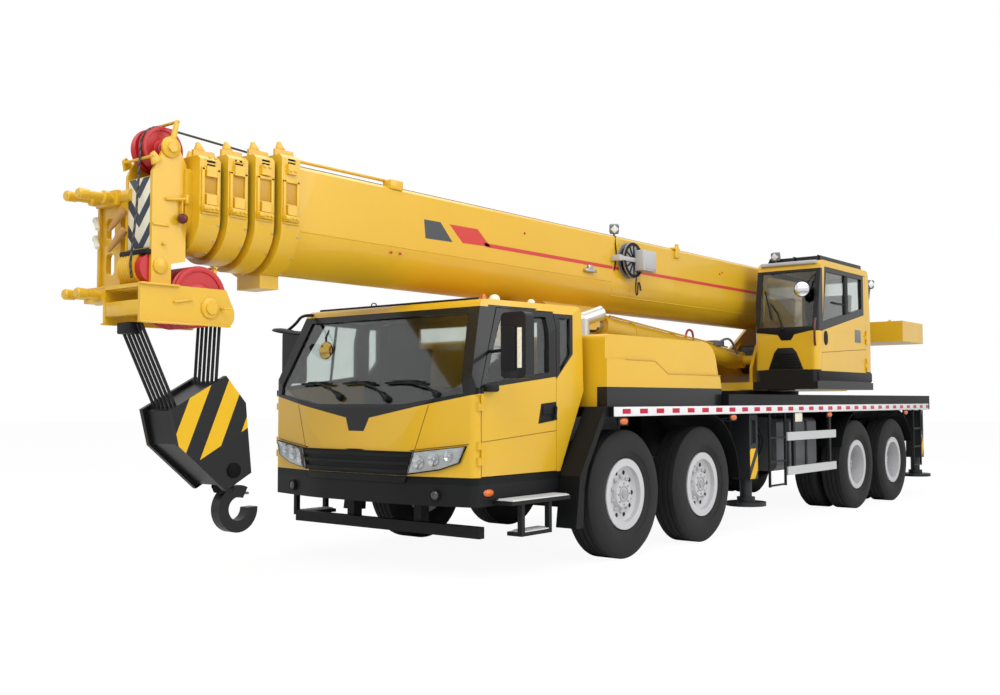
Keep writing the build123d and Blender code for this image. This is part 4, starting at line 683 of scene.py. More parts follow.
# wipers: arms sprung from the cowl, blades along the foot of the screen
wiper = {"pivots": [(-0.25, 1.372), (0.28, 1.362), (0.8, 1.388)],
         "blades": [(-0.76, -0.38), (-0.25, 0.12), (0.23, 0.66)], "bladeZ": 1.482, "proud": 0.008}
made = []
for (y, z), (a, b) in zip(wiper["pivots"], wiper["blades"]):
    z2 = wiper["bladeZ"]
    blade = alongNose([(a, z2), ((a * 2 + b) / 3, z2 + 0.004), ((a + b * 2) / 3, z2 + 0.004), (b, z2)],
                      wiper["proud"])
    made.append(tube(blade, 0.009))
    spine = alongNose([(a + 0.1, z2 + 0.012), (b - 0.06, z2 + 0.012)], wiper["proud"] + 0.016)
    made.append(tube(spine, 0.007))
    knee = alongNose([(y - 0.1, (z + z2) / 2 + 0.02)], wiper["proud"] + 0.04)[0]
    reach = alongNose([((a + b) / 2, z2 + 0.014)], wiper["proud"] + 0.022)
    made.append(tube(alongNose([(y, z)], 0.02) + [knee] + reach, 0.009))
    twin = alongNose([(y + 0.03, z + 0.008)], 0.014) + [knee]
    made.append(tube(twin, 0.006))
    made.append(cap([(-0.02, 0.03), (0.02, 0.026), (0.032, 0.014)], alongNose([(y, z)])[0], (1, 0, 0.3), 14))
finished(made, "wipers", "carrier", trimBlackAndHoleShade)

# arm mirror at the roof's right corner and the round mirror behind the screen
armMirror = {"root": (1.5, -0.93, 2.085), "elbow": (1.7, -0.9, 2.095), "neck": (1.81, -0.875, 1.985),
             "head": (1.85, -0.945, 1.932)}
at = {key: (st(place[0]), *place[1:]) for key, place in armMirror.items()}
arm = tube([at["root"], at["elbow"], at["neck"], at["head"]], 0.013, smooth=True)
head = cap([(-0.022, 0.045), (-0.012, 0.085), (0.0, 0.098), (0.01, 0.098), (0.014, 0.085)], (0, 0, 0),
           (0, 0, -1), 28)
for vert in head.data.vertices:
    vert.co = Vector((vert.co.x, vert.co.y * 1.45, vert.co.z - 0.25 * vert.co.y)) + Vector(at["head"])
finished([arm, head], "armMirror", "carrier", trimBlackAndHoleShade)
roundMirror = {"place": (1.7, -0.6, 1.765), "hang": (1.6, -0.68, 1.94), "radius": 0.072,
               "aim": (1, 0.1, 0.05)}
x, y, z = st(roundMirror["place"][0]), *roundMirror["place"][1:]
r = roundMirror["radius"]
disc = spun([(0, 0), (0, r), (0.012, r), (0.022, r * 0.8), (0.03, r * 0.4), (0.031, 0)], (x, y, z),
            roundMirror["aim"], 24)
finished(disc, "roundMirrorGlass", "carrier", mirrorGold)
stalk = tube([(x, y, z + r * 0.8), (x - 0.01, y - 0.02, z + 0.11),
              (st(roundMirror["hang"][0]), *roundMirror["hang"][1:])], 0.009)
shell = spun([(-0.012, 0), (-0.012, r * 0.9), (0.004, r * 1.06), (0.01, r * 1.02), (0.002, 0)], (x, y, z),
             roundMirror["aim"], 24)
finished([stalk, shell], "roundMirrorStalk", "carrier", trimBlackAndHoleShade)

# doors: panes in the openings, a recessed handle, panel gaps, a bracket at the belt
door = {"pane": [(1.694, 1.461), (0.886, 1.561), (0.886, 2.014), (1.366, 2.014)],
        "pane depth": (-0.03, -0.024), "rail": [(1.19, 1.525), (1.19, 2.012)],
        "recess": [(0.998, 1.315), (0.8, 1.331), (0.786, 1.186), (1.037, 1.158)],
        "gaps": [[(1.73, 1.035), (1.2, 1.072), (0.8, 1.1)], [(1.735, 0.785), (1.735, 1.4)]]}
doorBodies = ["cab_door_left", "cab_door_right"]
pane = pressed(sidePlate(door["pane"], *door["pane depth"]), "side", 5)
bothSides(pane, "doorPane", doorBodies, cabGlass)
rail = tube(alongSide(door["rail"], -0.022), 0.013)
bothSides(rail, "doorPaneRail", doorBodies, trimBlackAndHoleShade)
recess = sidePlate(door["recess"], cabSide - 0.004, cabSide + 0.004, 0.003)
hood = sidePlate([(0.985, 1.3), (0.83, 1.312), (0.83, 1.235), (0.99, 1.225)], cabSide + 0.003,
                 cabSide + 0.014, 0.006)
grip = tube([(st(0.825), cabSide + 0.004, 1.305), (st(0.83), cabSide + 0.026, 1.285),
             (st(0.84), cabSide + 0.026, 1.215), (st(0.845), cabSide + 0.004, 1.195)], 0.011)
bothSides([recess, hood, grip], "doorHandle", doorBodies, trimBlackAndHoleShade)
gaps = [tube([(st(s), cabSide - bite, z) for s, z in run], 0.0035) for run in door["gaps"]]
bothSides(gaps, "doorPanelGap", doorBodies, gapShade)
foot = block((st(1.58), cabSide - 0.02, 1.405), (st(1.72), cabSide + 0.055, 1.462), 0.018)
bothSides(foot, "mirrorBracket", doorBodies, trimBlackAndHoleShade)
mirror = {"front": st(1.73), "back": st(1.63), "folded": st(1.3), "outer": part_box("cab_door_left")[1].y}
front, back, outer = mirror["front"], mirror["back"], mirror["outer"]
y0, y1, z0, z1 = outer - 0.205, outer - 0.025, 1.53, 1.95
glass = plate([(y0, z0), (y1, z0), (y1, z1), (y0, z1)], "x", back - 0.004, back + 0.001, 0.002)
other = copied(glass, (mirror["folded"] - back, 0, 0), flip=True)
finished(glass, "mirrorGlassLeft", "cab_door_left", lampSilver)
finished(other, "mirrorGlassRight", "cab_door_right", lampSilver)
strip = [block((front - bite, outer - 0.075, 1.575), (front + 0.005, outer - 0.035, 1.865), 0.002)]
for k in range(12):
    z = 1.585 + 0.0235 * k
    strip.append(block((front + 0.004, outer - 0.07, z), (front + 0.008, outer - 0.04, z + 0.012), 0.001))
finished(strip, "mirrorLampStrip", "cab_door_left", creamWhite)
relief = block((front - 0.002, outer - 0.215, 1.56), (front + 0.01, outer - 0.09, 1.88), 0.012)
finished(relief, "mirrorShellRelief", "cab_door_left", trimBlackAndHoleShade)

# roof: a black drip strip over the screen, marker lamp, pale domes and a lifting eye
roof = {"strip": [(1.5, -0.9), (1.5, 0.9)], "lamp": (1.43, 0.9), "dome": (1.36, 0.95), "rear": (0.98, 1.02),
        "eye": (1.4, -0.34), "z": 2.118}
bar = tube([(st(s), y, roof["z"] + 0.008) for s, y in roof["strip"]], 0.012)
s, y = roof["eye"]
eye = spun([(-0.004, 0.02), (0.004, 0.02), (0.004, 0.028), (-0.004, 0.028)], (st(s), y, roof["z"] + 0.03),
           (0.3, 1, 0), 20)
finished([bar, eye], "roofStrip", "carrier", trimBlackAndHoleShade)
s, y = roof["lamp"]
lampTop = spun([(0, 0), (0, 0.022), (0.025, 0.02), (0.045, 0.012), (0.05, 0)], (st(s), y, roof["z"]),
               (0, 0, 1), 16)
finished(lampTop, "roofMarker", "carrier", amber)
domes = []
for key, r in (("dome", 0.045), ("rear", 0.032)):
    s, y = roof[key]
    domes.append(spun([(0, 0), (0, r), (r * 0.5, r * 0.95), (r * 0.9, r * 0.65), (r * 1.05, r * 0.3),
                       (r * 1.08, 0)], (st(s), y, roof["z"]), (0, 0, 1), 20))
finished(domes, "roofDomes", "carrier", creamWhite)

# steps: serrated bright treads on both levels
steps = {"levels": [(0.875, 1.585, 1.15, 1.305, 0.6), (1.095, 1.445, 1.16, 1.285, 0.36)], "pitch": 0.032}
made = []
for s0, s1, y0, y1, z in steps["levels"]:
    made.append(block((st(s0), y0, z - bite), (st(s1), y1, z + 0.004), 0.0015))
    for k in range(int((s1 - s0) / steps["pitch"])):
        s = s0 + steps["pitch"] * (k + 0.4)
        made.append(plate([(y0, z + 0.003), (y0 + 0.01, z + 0.014), (y1 - 0.01, z + 0.014), (y1, z + 0.003)],
                          "x", st(s), st(s + 0.007)))
    made.append(block((st(s0), y1 - 0.004, z - 0.012), (st(s1), y1 + 0.004, z + 0.008), 0.002))
bothSides(made, "stepTreads", "carrier", stepZinc)
print("driver's cab ready")

# carrier sides: reflective strip on the deck's edge, amber markers, a blank plate
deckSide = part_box("deck")[1].y
edge = {"front": 0.325, "rear": -7.95, "low": 1.208, "high": 1.287}
film = block((st(edge["rear"]), deckSide - bite, edge["low"]),
             (st(edge["front"]), deckSide + 0.003, edge["high"]), 0.001)
bothSides(film, "deckEdgeStrip", "carrier", edgeStrip)
marker = {"cab": (1.66, cabSide, 0.66), "long": 0.06, "high": 0.028, "deep": 0.024,
          "deck": [(0.16, 1.165), (-1.85, 1.172), (-4.3, 1.172), (-6.99, 1.172)]}
deckPlaces = [(s, deckSide - 0.012, z) for s, z in marker["deck"]]


def markerLens(s, y, z, swell):
    obj = spun([(0, 0), (0, 1.0), (0.25, 0.96), (0.6, 0.75), (0.9, 0.35), (1.0, 0)], (0, 0, 0), (0, 1, 0), 24)
    for vert in obj.data.vertices:
        vert.co = (st(s) + vert.co.x * marker["long"] * swell, y + vert.co.y * marker["deep"],
                   z + vert.co.z * marker["high"] * swell)
    return obj


lenses = [markerLens(s, y + 0.004, z, 1.0) for s, y, z in [marker["cab"]] + deckPlaces]
bothSides(lenses, "sideMarkers", "carrier", amber)
s, y, z = marker["cab"]
bases = [markerLens(s, y - 0.006, z, 1.25)]
bases += [block((st(s) - 0.075, y - 0.02, z - 0.035), (st(s) + 0.075, y + 0.004, z + 0.04), 0.008)
          for s, y, z in deckPlaces]
bothSides(bases, "sideMarkerBases", "carrier", trimBlackAndHoleShade)
sign = block((st(-3.53), deckSide - 0.018, 1.105), (st(-3.3), deckSide - 0.012, 1.205), 0.003)
bothSides(sign, "blankSidePlate", "carrier", creamWhite)

# jack columns: hazard film low on the outer faces, a framed slot above it whose dark inside is a plate of
# painted shade
column = {"film": (0.53, 0.84), "slot": (0.88, 1.15), "half": 0.055, "bar": 0.014, "sill": 0.016}
for place in ("front", "rear"):
    for hand, side in hands.items():
        body, tag = f"beam_{place}_{hand}", place.capitalize() + hand.capitalize()
        low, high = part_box(body)
        out = high.y if side > 0 else low.y
        sunk = out - side * bite
        x = sum(corner.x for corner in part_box(f"jack_{place}_{hand}")) / 2
        z0, z1 = column["film"]
        outer = block((x - 0.088, sunk, z0), (x + 0.088, out + side * 0.003, z1), 0.001)
        finished(outer, "hazardFilm" + tag, body, hazard)
        z0, z1 = column["slot"]
        h, b = column["half"], column["half"] - column["bar"]
        runs = ((-h, h, z0, z0 + column["sill"]), (-h, h, z1 - column["sill"], z1),
                (-h, -b, z0, z1), (b, h, z0, z1))
        bars = [block((x + x0, sunk, foot), (x + x1, out + side * 0.005, top), 0.002)
                for x0, x1, foot, top in runs]
        finished(bars, "columnSlotFrame" + tag, body, darkGrey)
        dark = block((x - 0.042, sunk, z0 + 0.012), (x + 0.042, out + side * 0.0015, z1 - 0.012), 0.0005)
        finished(dark, "columnSlot" + tag, body, blackAndOpeningShade)
# rear: lamp bars with blank reflectors on the tail
tail = {"x": st(-8.01), "z": 1.262}
shell = block((tail["x"] - 0.04, 0.62, tail["z"] - 0.05), (tail["x"] + 0.002, 1.22, tail["z"] + 0.05), 0.012)
bothSides(shell, "tailLampBar", "carrier", trimBlackAndHoleShade)
for name, y0, y1, finish in (("Red", 0.98, 1.2, signalRed), ("Amber", 0.82, 0.97, amber),
                             ("Clear", 0.64, 0.81, creamWhite)):
    low, high = tail["z"] - 0.038, tail["z"] + 0.038
    lens = block((tail["x"] - 0.052, y0, low), (tail["x"] - 0.034, y1, high), 0.008)
    bothSides(lens, "tailLamp" + name, "carrier", finish, "sheave_red")
# tanks: straps and filler, hoses between the ladder and the tank
tank = {"straps": (-3.55, -4.05), "filler": (-3.42, 1.05, 1.148), "hoses": 3, "firstHose": -2.86,
        "hosePitch": 0.07}
straps = [block((st(s) - 0.03, 1.172, 0.6), (st(s) + 0.03, 1.186, 1.1), 0.004) for s in tank["straps"]]
s, y, z = tank["filler"]
straps.append(cap([(0, 0.045), (0.045, 0.045), (0.055, 0.03)], (st(s), y, z), (0, 0, 1), 18))
bothSides(straps, "tankStraps", "carrier", trimBlackAndHoleShade, "chassis_black")
hoses = []
for k in range(tank["hoses"]):
    s = tank["firstHose"] - tank["hosePitch"] * k
    hoses.append(tube([(st(s), 0.95, 1.2), (st(s + 0.02), 1.1, 1.05), (st(s - 0.06), 1.14, 0.85),
                       (st(s - 0.02), 1.02, 0.66)], 0.014, smooth=True))
bothSides(hoses, "sideHoses", "carrier", trimBlackAndHoleShade, "chassis_black")
# exhaust: bright rim, and the mouth drawn as a dark disc of painted shade
pipe = {"mouth": (-0.25, 0.865, 2.125), "aim": (-0.19, 0.065, 0.065), "radius": 0.065}
x, y, z = st(pipe["mouth"][0]), *pipe["mouth"][1:]
r = pipe["radius"]
rim = spun([(-0.03, r * 0.98), (0.012, r * 1.03), (0.012, r * 0.9), (0.0005, r * 0.88)], (x, y, z),
           pipe["aim"], 32)
finished(rim, "exhaustRim", "carrier", brightSteel)
mouth = cap([(0.0006, r * 0.9), (0.002, r * 0.9)], (x, y, z), pipe["aim"], 32)
finished(mouth, "exhaustMouth", "carrier", blackAndOpeningShade)
# engine cover: a thin line of painted shade along the side crease and a louvre field on the top
crease = {"run": [(0.02, 1.69), (-0.47, 1.69), (-0.7, 1.58), (-1.715, 1.58)], "side": 1.3, "bead": 0.0045}
line = tube([(st(s), crease["side"], z) for s, z in crease["run"]], crease["bead"])
bothSides(line, "coverCreaseShade", "carrier", shadeYellow)
louvre = {"count": 9, "first": -0.45, "pitch": 0.1, "foot": 1.9 - bite, "top": 1.9 + 0.018,
          "ends": (0.42, 1.08)}
louvres = []
for k in range(louvre["count"]):
    s = louvre["first"] - louvre["pitch"] * k
    louvres.append(sidePlate([(s, louvre["foot"]), (s - 0.07, louvre["foot"]), (s - 0.07, louvre["top"]),
                              (s - 0.05, louvre["top"])], *louvre["ends"], 0.003))
bothSides(louvres, "coverLouvres", "carrier", craneYellow)
print("carrier ready")

# boom side films: slate and red parallelograms, then a thin red line back to the operator's cab
boomSide, boomMid = 0.31, 2.57
films = {"slate": [(1.475, 2.81), (1.277, 2.812), (1.128, 2.664), (1.458, 2.658)],
         "red": [(1.165, 2.81), (0.803, 2.814), (0.628, 2.68), (0.999, 2.672)],
         "line": [(0.72, 2.706), (0.69, 2.672), (-6.6, 2.672), (-6.6, 2.706)]}
for name, finish in (("slate", stripeSlate), ("red", stripeRed), ("line", stripeRed)):
    film = sidePlate(films[name], boomSide - 0.0005, boomSide + 0.0014)
    bothSides(film, name + "BoomFilm", "boom_1", finish, "sheave_red")


def boomY(z):
    return boomSide if z > boomMid else math.sqrt(boomSide ** 2 - (boomMid - z) ** 2)


weld = {"bead": 0.0045, "runs": [[(2.8, 2.552), (-1.3, 2.545)],
                                 [(-1.33, 2.82), (-1.33, 2.6), (-1.33, 2.54), (-1.33, 2.47), (-1.33, 2.41)],
                                 [(-1.33, 2.41), (-6.9, 2.41)]]}
beads = [tube([(st(s), boomY(z), z) for s, z in run], weld["bead"]) for run in weld["runs"]]
bothSides(beads, "boomWeld", "boom_1", craneYellow)
# rail, brackets and clamps on the boom
fittings = [tube([(st(2.72), 0.2, 3.016), (st(2.7), 0.2, 3.085), (st(1.82), 0.2, 3.085),
                  (st(1.8), 0.2, 3.016)], 0.015, sides=3)]
fittings.append(block((st(1.73), 0.262, 3.0), (st(1.87), 0.325, 3.075), 0.008))
fittings.append(sidePlate([(-2.57, 2.92), (-2.67, 2.92), (-2.64, 3.075), (-2.6, 3.075)], 0.308, 0.335, 0.004))
fittings.append(block((st(-2.68), 0.25, 3.012), (st(-2.56), 0.33, 3.035), 0.006))
finished(fittings, "boomFittings", "boom_1", craneYellow)
clampParts = [block((st(-0.98), 0.307, 2.6), (st(-0.8), 0.352, 2.628), 0.006),
              block((st(-0.93), 0.307, 2.622), (st(-0.86), 0.34, 2.672), 0.008)]
finished(clampParts, "boomClamp", "boom_1", brightSteel)
bolts = [cap([(0, 0.012), (0.006, 0.012), (0.01, 0.007)], (st(s), 0.309, z), (0, 1, 0), 6)
         for s, z in ((0.14, 2.86), (-3.72, 2.86), (-3.66, 2.84), (1.85, 2.5), (1.75, 2.5))]
bothSides(bolts, "boomBolts", "boom_1", signalRed)


# work lamp: a rounded square shell, bright face, bent foot
def workLamp(name, body, place, aim, size):
    front = Vector(aim).normalized()
    shell = [block((-0.06, -size, -size), (0.028, size, size), size * 0.3)]
    shell.append(tube([(-0.015, 0, -size), (-0.015, 0, -size - 0.05), (-0.05, 0, -size - 0.075)], 0.011))
    shell.append(block((-0.025, -size * 0.9, -size * 1.12), (0.0, size * 0.9, -size * 0.9), 0.004))
    face = spun([(0.02, 0), (0.02, size * 0.92), (0.033, size * 0.88), (0.038, size * 0.55), (0.04, 0)],
                (0, 0, 0), (1, 0, 0), 4)
    turn = Matrix.Translation((st(place[0]), *place[1:])) @ front.to_track_quat("X", "Z").to_matrix().to_4x4()
    shell = joined(shell)
    shell.data.transform(turn)
    face.data.transform(turn @ Matrix.Rotation(math.pi / 4, 4, "X"))
    finished(shell, name + "Shell", body, machineGrey)
    finished(face, name + "Face", body, lampTray)


workLamp("boomLamp", "boom_1", (-1.48, 0.235, 3.112), (0.75, 0.6, -0.25), 0.048)
# cable reel: rim, spokes, bracket and the pale junction box over it
reel = {"radius": 0.185, "face": 0.39, "rim": (0.82, 0.98), "spokes": 6, "spokeReach": 0.86, "spoke": 0.008,
        "boxes": [((-0.27, 0.006, -0.11), (-0.01, 0.115, 0.105), 0.012),
                  ((-0.25, 0.11, -0.09), (-0.03, 0.122, 0.085), 0.006),
                  ((-0.02, -0.004, -0.022), (0.29, 0.02, 0.022), 0.004),
                  ((0.24, -0.082, -0.03), (0.3, 0.022, 0.03), 0.006)]}
reelR, reelY = reel["radius"], reel["face"]
inner, outer = [reelR * share for share in reel["rim"]]
ring = [spun([(0, inner), (0, outer), (0.008, outer), (0.008, inner)], (reelX, reelY - bite, reelZ),
             (0, 1, 0), 44)]
for k in range(reel["spokes"]):
    turn, y = math.pi * k / reel["spokes"], reelY + 0.003
    dx, dz = [reelR * reel["spokeReach"] * share for share in (math.cos(turn), math.sin(turn))]
    ring.append(tube([(reelX - dx, y, reelZ - dz), (reelX + dx, y, reelZ + dz)], reel["spoke"]))
finished(ring, "reelSpokes", "boom_1", trimBlackAndHoleShade, "chassis_black")
coil = [(0.0065 * k, 0.155 if k % 2 else 0.15) for k in range(9)]
cable = spun([(0, 0.112)] + coil + [(0.052, 0.112)], (reelX, 0.324, reelZ), (0, 1, 0), 40)
finished(cable, "reelCable", "boom_1", trimBlackAndHoleShade)
hub = Vector((reelX, reelY, reelZ))
box = [block(hub + Vector(low), hub + Vector(high), soft) for low, high, soft in reel["boxes"]]
finished(box, "reelJunctionBox", "boom_1", paleGrey)
lead = [tube([(reelX - 0.06, 0.385, reelZ - 0.17), (reelX - 0.075, 0.36, reelZ - 0.33),
              (reelX - 0.14, 0.35, reelZ - 0.36), (reelX - 0.17, 0.335, reelZ - 0.22),
              (reelX - 0.24, 0.318, reelZ - 0.2), (reelX - 0.26, 0.316, reelZ - 0.29)], 0.007, smooth=True)]
lead.append(tube([(st(-1.4), 0.3, 3.02), (st(-1.36), 0.318, 2.95), (st(-1.4), 0.318, 2.8),
                  (st(-1.34), 0.318, 2.66)], 0.006, smooth=True))
finished(lead, "boomLeads", "boom_1", trimBlackAndHoleShade)

# collars: recess panels in painted shade, slots drawn as dark plates of painted shade, bolted clamps, pointed
# fins and a row of bolts round the belly
for n, body in enumerate(("boom_1", "boom_2", "boom_3", "boom_4")):
    front = st(collars["front"] + collars["pitch"] * n)
    rear = front - collars["length"]
    w = boomSide - collars["step"] * n + collars["rim"]
    top = 3.02 - collars["step"] * n + collars["rim"]
    tag = str(n + 1)
    left, right = rear + 0.012, front - 0.012
    frameBars = [block((x0, w - bite, z0), (x1, w + 0.012, z1), 0.003) for x0, x1, z0, z1 in (
        (left, rear + 0.034, 2.585, 2.885), (front - 0.034, right, 2.585, 2.885),
        (left, right, 2.868, 2.888), (left, right, 2.575, 2.592))]
    clamp = [block((rear + 0.028, w - bite, 2.592), (front - 0.006, w + 0.03, 2.636), 0.004),
             block((front - 0.05, w - bite, 2.6), (front - 0.004, w + 0.052, 2.628), 0.004)]
    for k in range(3):
        clamp.append(cap([(0, 0.011), (0.01, 0.011), (0.014, 0.006)],
                         (rear + 0.045 + 0.035 * k, w + 0.029, 2.614), (0, 1, 0), 6))
    for k in range(2):
        clamp.append(cap([(0, 0.012), (0.008, 0.012), (0.012, 0.007)],
                         (rear + 0.06 + 0.045 * k, w + 0.021, 2.955), (0, 1, 0), 6))
    bothSides(frameBars + clamp, "collarFrame" + tag, body, craneYellow)
    slots = [block((rear + 0.045, w - bite, top - low), (front - 0.055, w + 0.002, top - high), 0.0005)
             for low, high in ((0.042, 0.03), (0.066, 0.054))]
    bothSides(slots, "collarSlots" + tag, body, blackAndOpeningShade)
    # a flat panel in painted shade stands in for the shaded recess
    panel = block((rear + 0.033, w - bite, 2.72), (front - 0.033, w + 0.0015, 2.868), 0.0005)
    bothSides(panel, "collarRecessShade" + tag, body, shadeYellow)
    finY = w - 0.072
    fin = plate([(rear + 0.07, top + 0.044), (front - 0.012, top + 0.044), (front - 0.03, top + 0.1),
                 (front - 0.048, top + 0.1)], "y", finY - 0.024, finY, 0.005)
    bothSides(fin, "collarFin" + tag, body, craneYellow)
    belly = []
    for k in range(7):
        turn = math.radians(12 + 26 * k)
        out = Vector((0, math.cos(turn), -math.sin(turn)))
        belly.append(cap([(0, 0.009), (0.006, 0.008), (0.009, 0.004)],
                         Vector((rear + 0.014, 0, boomMid)) + out * (w - bite), out, 8))
    finished(belly, "collarBolts" + tag, body, brightSteel)
print("boom ready")

# boom head: chevron sign with the rope down its middle, a rope bar, ribbed guide drum
head = {"front": 3.857, "plate": 0.155, "sign": (2.335, 2.795), "half": 0.127, "guide": (3.83, 2.2, 0.1)}
sign = block((st(head["front"]) - bite, -head["half"], head["sign"][0]),
             (st(head["front"]) + 0.003, head["half"], head["sign"][1]), 0.001)
finished(sign, "chevronSign", "tip", chevron)
bar = block((st(3.845), -0.15, 2.285), (st(3.91), 0.15, 2.318), 0.008)
finished(bar, "ropeBar", "tip", trimBlackAndHoleShade, "chassis_black")
s, z, r = head["guide"]
ribs = [(-0.128, r - 0.004), (-0.128, r + 0.002)]
for k in range(6):
    y = -0.126 + 0.0305 * k
    ribs += [(y + 0.004, r + 0.016), (y + 0.012, r + 0.016), (y + 0.018, r + 0.003), (y + 0.026, r + 0.003)]
ribs += [(0.06, r + 0.016), (0.066, r + 0.016), (0.066, r - 0.004)]
finished(spun(ribs, (st(s), 0, z), (0, 1, 0), 48), "guideDrumRibs", "tip", craneYellow)
# hoist rope: back over the collars, over the top sheave, down the sign and round the guide drum
hoist = {"lane": 0.045, "radius": 0.008}
sheaves = {"top": (3.735, 3.0, 0.15, 0.07), "rear": (3.508, 2.034, 0.205, 0.173)}
s, z, r = sheaves["top"][:3]
run = [(st(-6.6), hoist["lane"], 3.082), (st(2.6), hoist["lane"], 3.088)]
for k in range(8):
    turn = math.radians(95 - 13.5 * k)
    run.append((st(s) + r * math.cos(turn), hoist["lane"], z + r * math.sin(turn)))
run += [(st(3.915), 0.052, 2.55), (st(3.956), 0.058, 2.22), (st(3.945), 0.058, 2.13)]
finished(tube(run, hoist["radius"]), "hoistRope", "tip", rope)
# sheave faces: a raised rim and a dished web on the outermost discs, grey hubs
faces, hubs = [], []
for s, z, r, y in sheaves.values():
    for side in (1, -1):
        place, aim = (st(s), side * y, z), (0, side, 0)
        faces.append(spun([(-0.001, r * 0.8), (0.007, r * 0.82), (0.009, r * 0.9), (0.007, r * 0.985),
                           (-0.001, r * 0.992)], place, aim, 48))
        faces.append(cap([(-0.001, r * 0.46), (0.004, r * 0.44), (0.01, r * 0.34)], place, aim, 40))
        hubs.append(cap([(0.009, r * 0.28), (0.014, r * 0.26)], place, aim, 32))
finished(faces, "sheaveFaces", "tip", signalRed)
finished(hubs, "sheaveHubs", "tip", machineGrey)
# rope guard over the top sheaves: arms from bosses on the plates and a cross rod
guard = []
s, z = sheaves["top"][:2]
for side in (1, -1):
    y = side * 0.162
    place, aim = (st(s), side * 0.154, z), (0, side, 0)
    guard.append(cap([(0, 0.07), (0.012, 0.07), (0.02, 0.058)], place, aim, 28))
    guard.append(cap([(0.019, 0.04), (0.034, 0.036)], place, aim, 6))
    for outline in ([(3.712, 3.02), (3.752, 3.03), (3.706, 3.185), (3.676, 3.185)],
                    [(3.8, 2.9), (3.875, 2.86), (3.89, 2.93), (3.865, 2.955)]):
        guard.append(sidePlate(outline, y - 0.01, y + 0.01, 0.004))
guard.append(crossRod(3.691, 0.172, 3.178, 0.011))
guard.append(crossRod(3.874, 0.172, 2.918, 0.01))
finished(guard, "topSheaveGuard", "tip", craneYellow)
# head plates: stiffener ribs, a rod handle with a knob, bosses and a fold line
plates = []
for side in (1, -1):
    y = side * (head["plate"] - bite)
    plates.append(block((st(3.742), y, 2.475), (st(3.862), y + side * 0.01, 2.493), 0.003))
    plates.append(cap([(0, 0.052), (0.01, 0.052), (0.018, 0.036)], (st(3.8), y, 2.215), (0, side, 0), 28))
    plates.append(cap([(0, 0.012), (0.02, 0.012), (0.024, 0.006)], (st(3.78), y, 2.36), (0, side, 0), 6))
plates.append(tube([(st(3.77), 0.162, 2.655), (st(3.645), 0.178, 2.668), (st(3.615), 0.182, 2.675)], 0.011))
plates.append(tube([(st(3.655), 0.175, 2.668), (st(3.655), 0.177, 2.56)], 0.007))
plates.append(block((st(3.612), 0.15, 2.64), (st(3.64), 0.196, 2.7), 0.005))
finished(plates, "headPlateFittings", "tip", craneYellow)
knob = spun([(-0.034, 0), (-0.03, 0.018), (-0.012, 0.033), (0.012, 0.033), (0.03, 0.018), (0.034, 0)],
            (st(3.665), 0.195, 2.535), (0.3, 1, 0), 20)
finished(knob, "lockKnob", "tip", knobRed)
# lower arm: sheave boss, stiffener, handle, flange lips and a rope keeper over the rear sheaves
arm = {"side": 0.215, "boss": (sheaves["rear"][0] - 0.05, sheaves["rear"][1] - 0.075)}
s, z = arm["boss"]
parts = []
for side in (1, -1):
    y = side * (arm["side"] - bite)
    parts.append(cap([(0, 0.07), (0.012, 0.07), (0.018, 0.06), (0.018, 0.045), (0.03, 0.042)], (st(s), y, z),
                     (0, side, 0), 32))
    parts.append(tube([(st(s) - 0.085, y + side * 0.006, z), (st(s) - 0.085, y + side * 0.045, z),
                       (st(s) - 0.13, y + side * 0.045, z)], 0.008))
    parts.append(sidePlate([(3.74, 1.975), (3.6, 2.0), (3.6, 2.012), (3.74, 1.99)], y, y + side * 0.016,
                           0.002))
    parts.append(block((st(3.3), y - side * 0.02, 1.838), (st(3.985), y + side * 0.02, 1.85), 0.003))
    parts.append(block((st(3.7), y - side * 0.02, 2.08), (st(3.985), y + side * 0.02, 2.094), 0.003))
for y in (-0.11, 0.11):
    parts.append(sidePlate([(3.345, 2.07), (3.375, 2.07), (3.36, 2.262), (3.335, 2.255)], y - 0.012,
                           y + 0.012, 0.004))
parts.append(crossRod(3.348, 0.19, 2.085, 0.01))
parts.append(crossRod(3.347, 0.13, 2.245, 0.009))
finished(parts, "lowerArmFittings", "tip", craneYellow)
cross = [block((st(3.925), -0.214, 1.89), (st(3.978), 0.214, 1.985), 0.006),
         block((st(3.6), -0.214, 2.06), (st(3.93), 0.214, 2.082), 0.004)]
finished(cross, "lowerArmCross", "tip", craneYellow)
hang = block((st(3.86), -0.1, 1.775), (st(3.95), 0.06, 1.85), 0.01)
finished(hang, "limitSwitchBox", "tip", trimBlackAndHoleShade, "chassis_black")
# jib bracket: fork ends on the CAD pins, cream stowing pins and tapered tan pins
jib = {"front": 4.15, "rows": (2.04, 2.69), "lanes": (-0.405, -0.255)}
forks = []
for z in jib["rows"]:
    for y in jib["lanes"]:
        place = (st(jib["front"]), y, z)
        forks.append(cap([(-0.075, 0.034), (-0.012, 0.036), (-0.004, 0.03)], place, (1, 0, 0), 18))
        forks.append(cap([(-0.215, 0.044), (-0.18, 0.044), (-0.17, 0.03)], place, (1, 0, 0), 18))
forks.append(block((st(3.862), -0.46, 2.64), (st(3.905), -0.205, 2.745), 0.01))
forks.append(block((st(3.862), -0.46, 1.985), (st(3.905), -0.205, 2.1), 0.01))
forks.append(plate([(-0.46, 2.1), (-0.43, 2.1), (-0.43, 2.64), (-0.46, 2.64)], "x", st(3.862), st(3.885),
                   0.004))
forks.append(cap([(-0.1, 0.045), (0.1, 0.045)], (st(3.845), -0.185, 2.7), (0, 1, 0), 24))
finished(forks, "jibForks", "tip", craneYellow)
pins = []
for z in (2.545, 2.42):
    pins.append(cap([(-0.05, 0.022), (-0.03, 0.026), (0.0, 0.018), (0.085, 0.018), (0.1, 0.012)],
                    (st(3.9), -0.445, z), (0.35, 0.75, -0.55), 16))
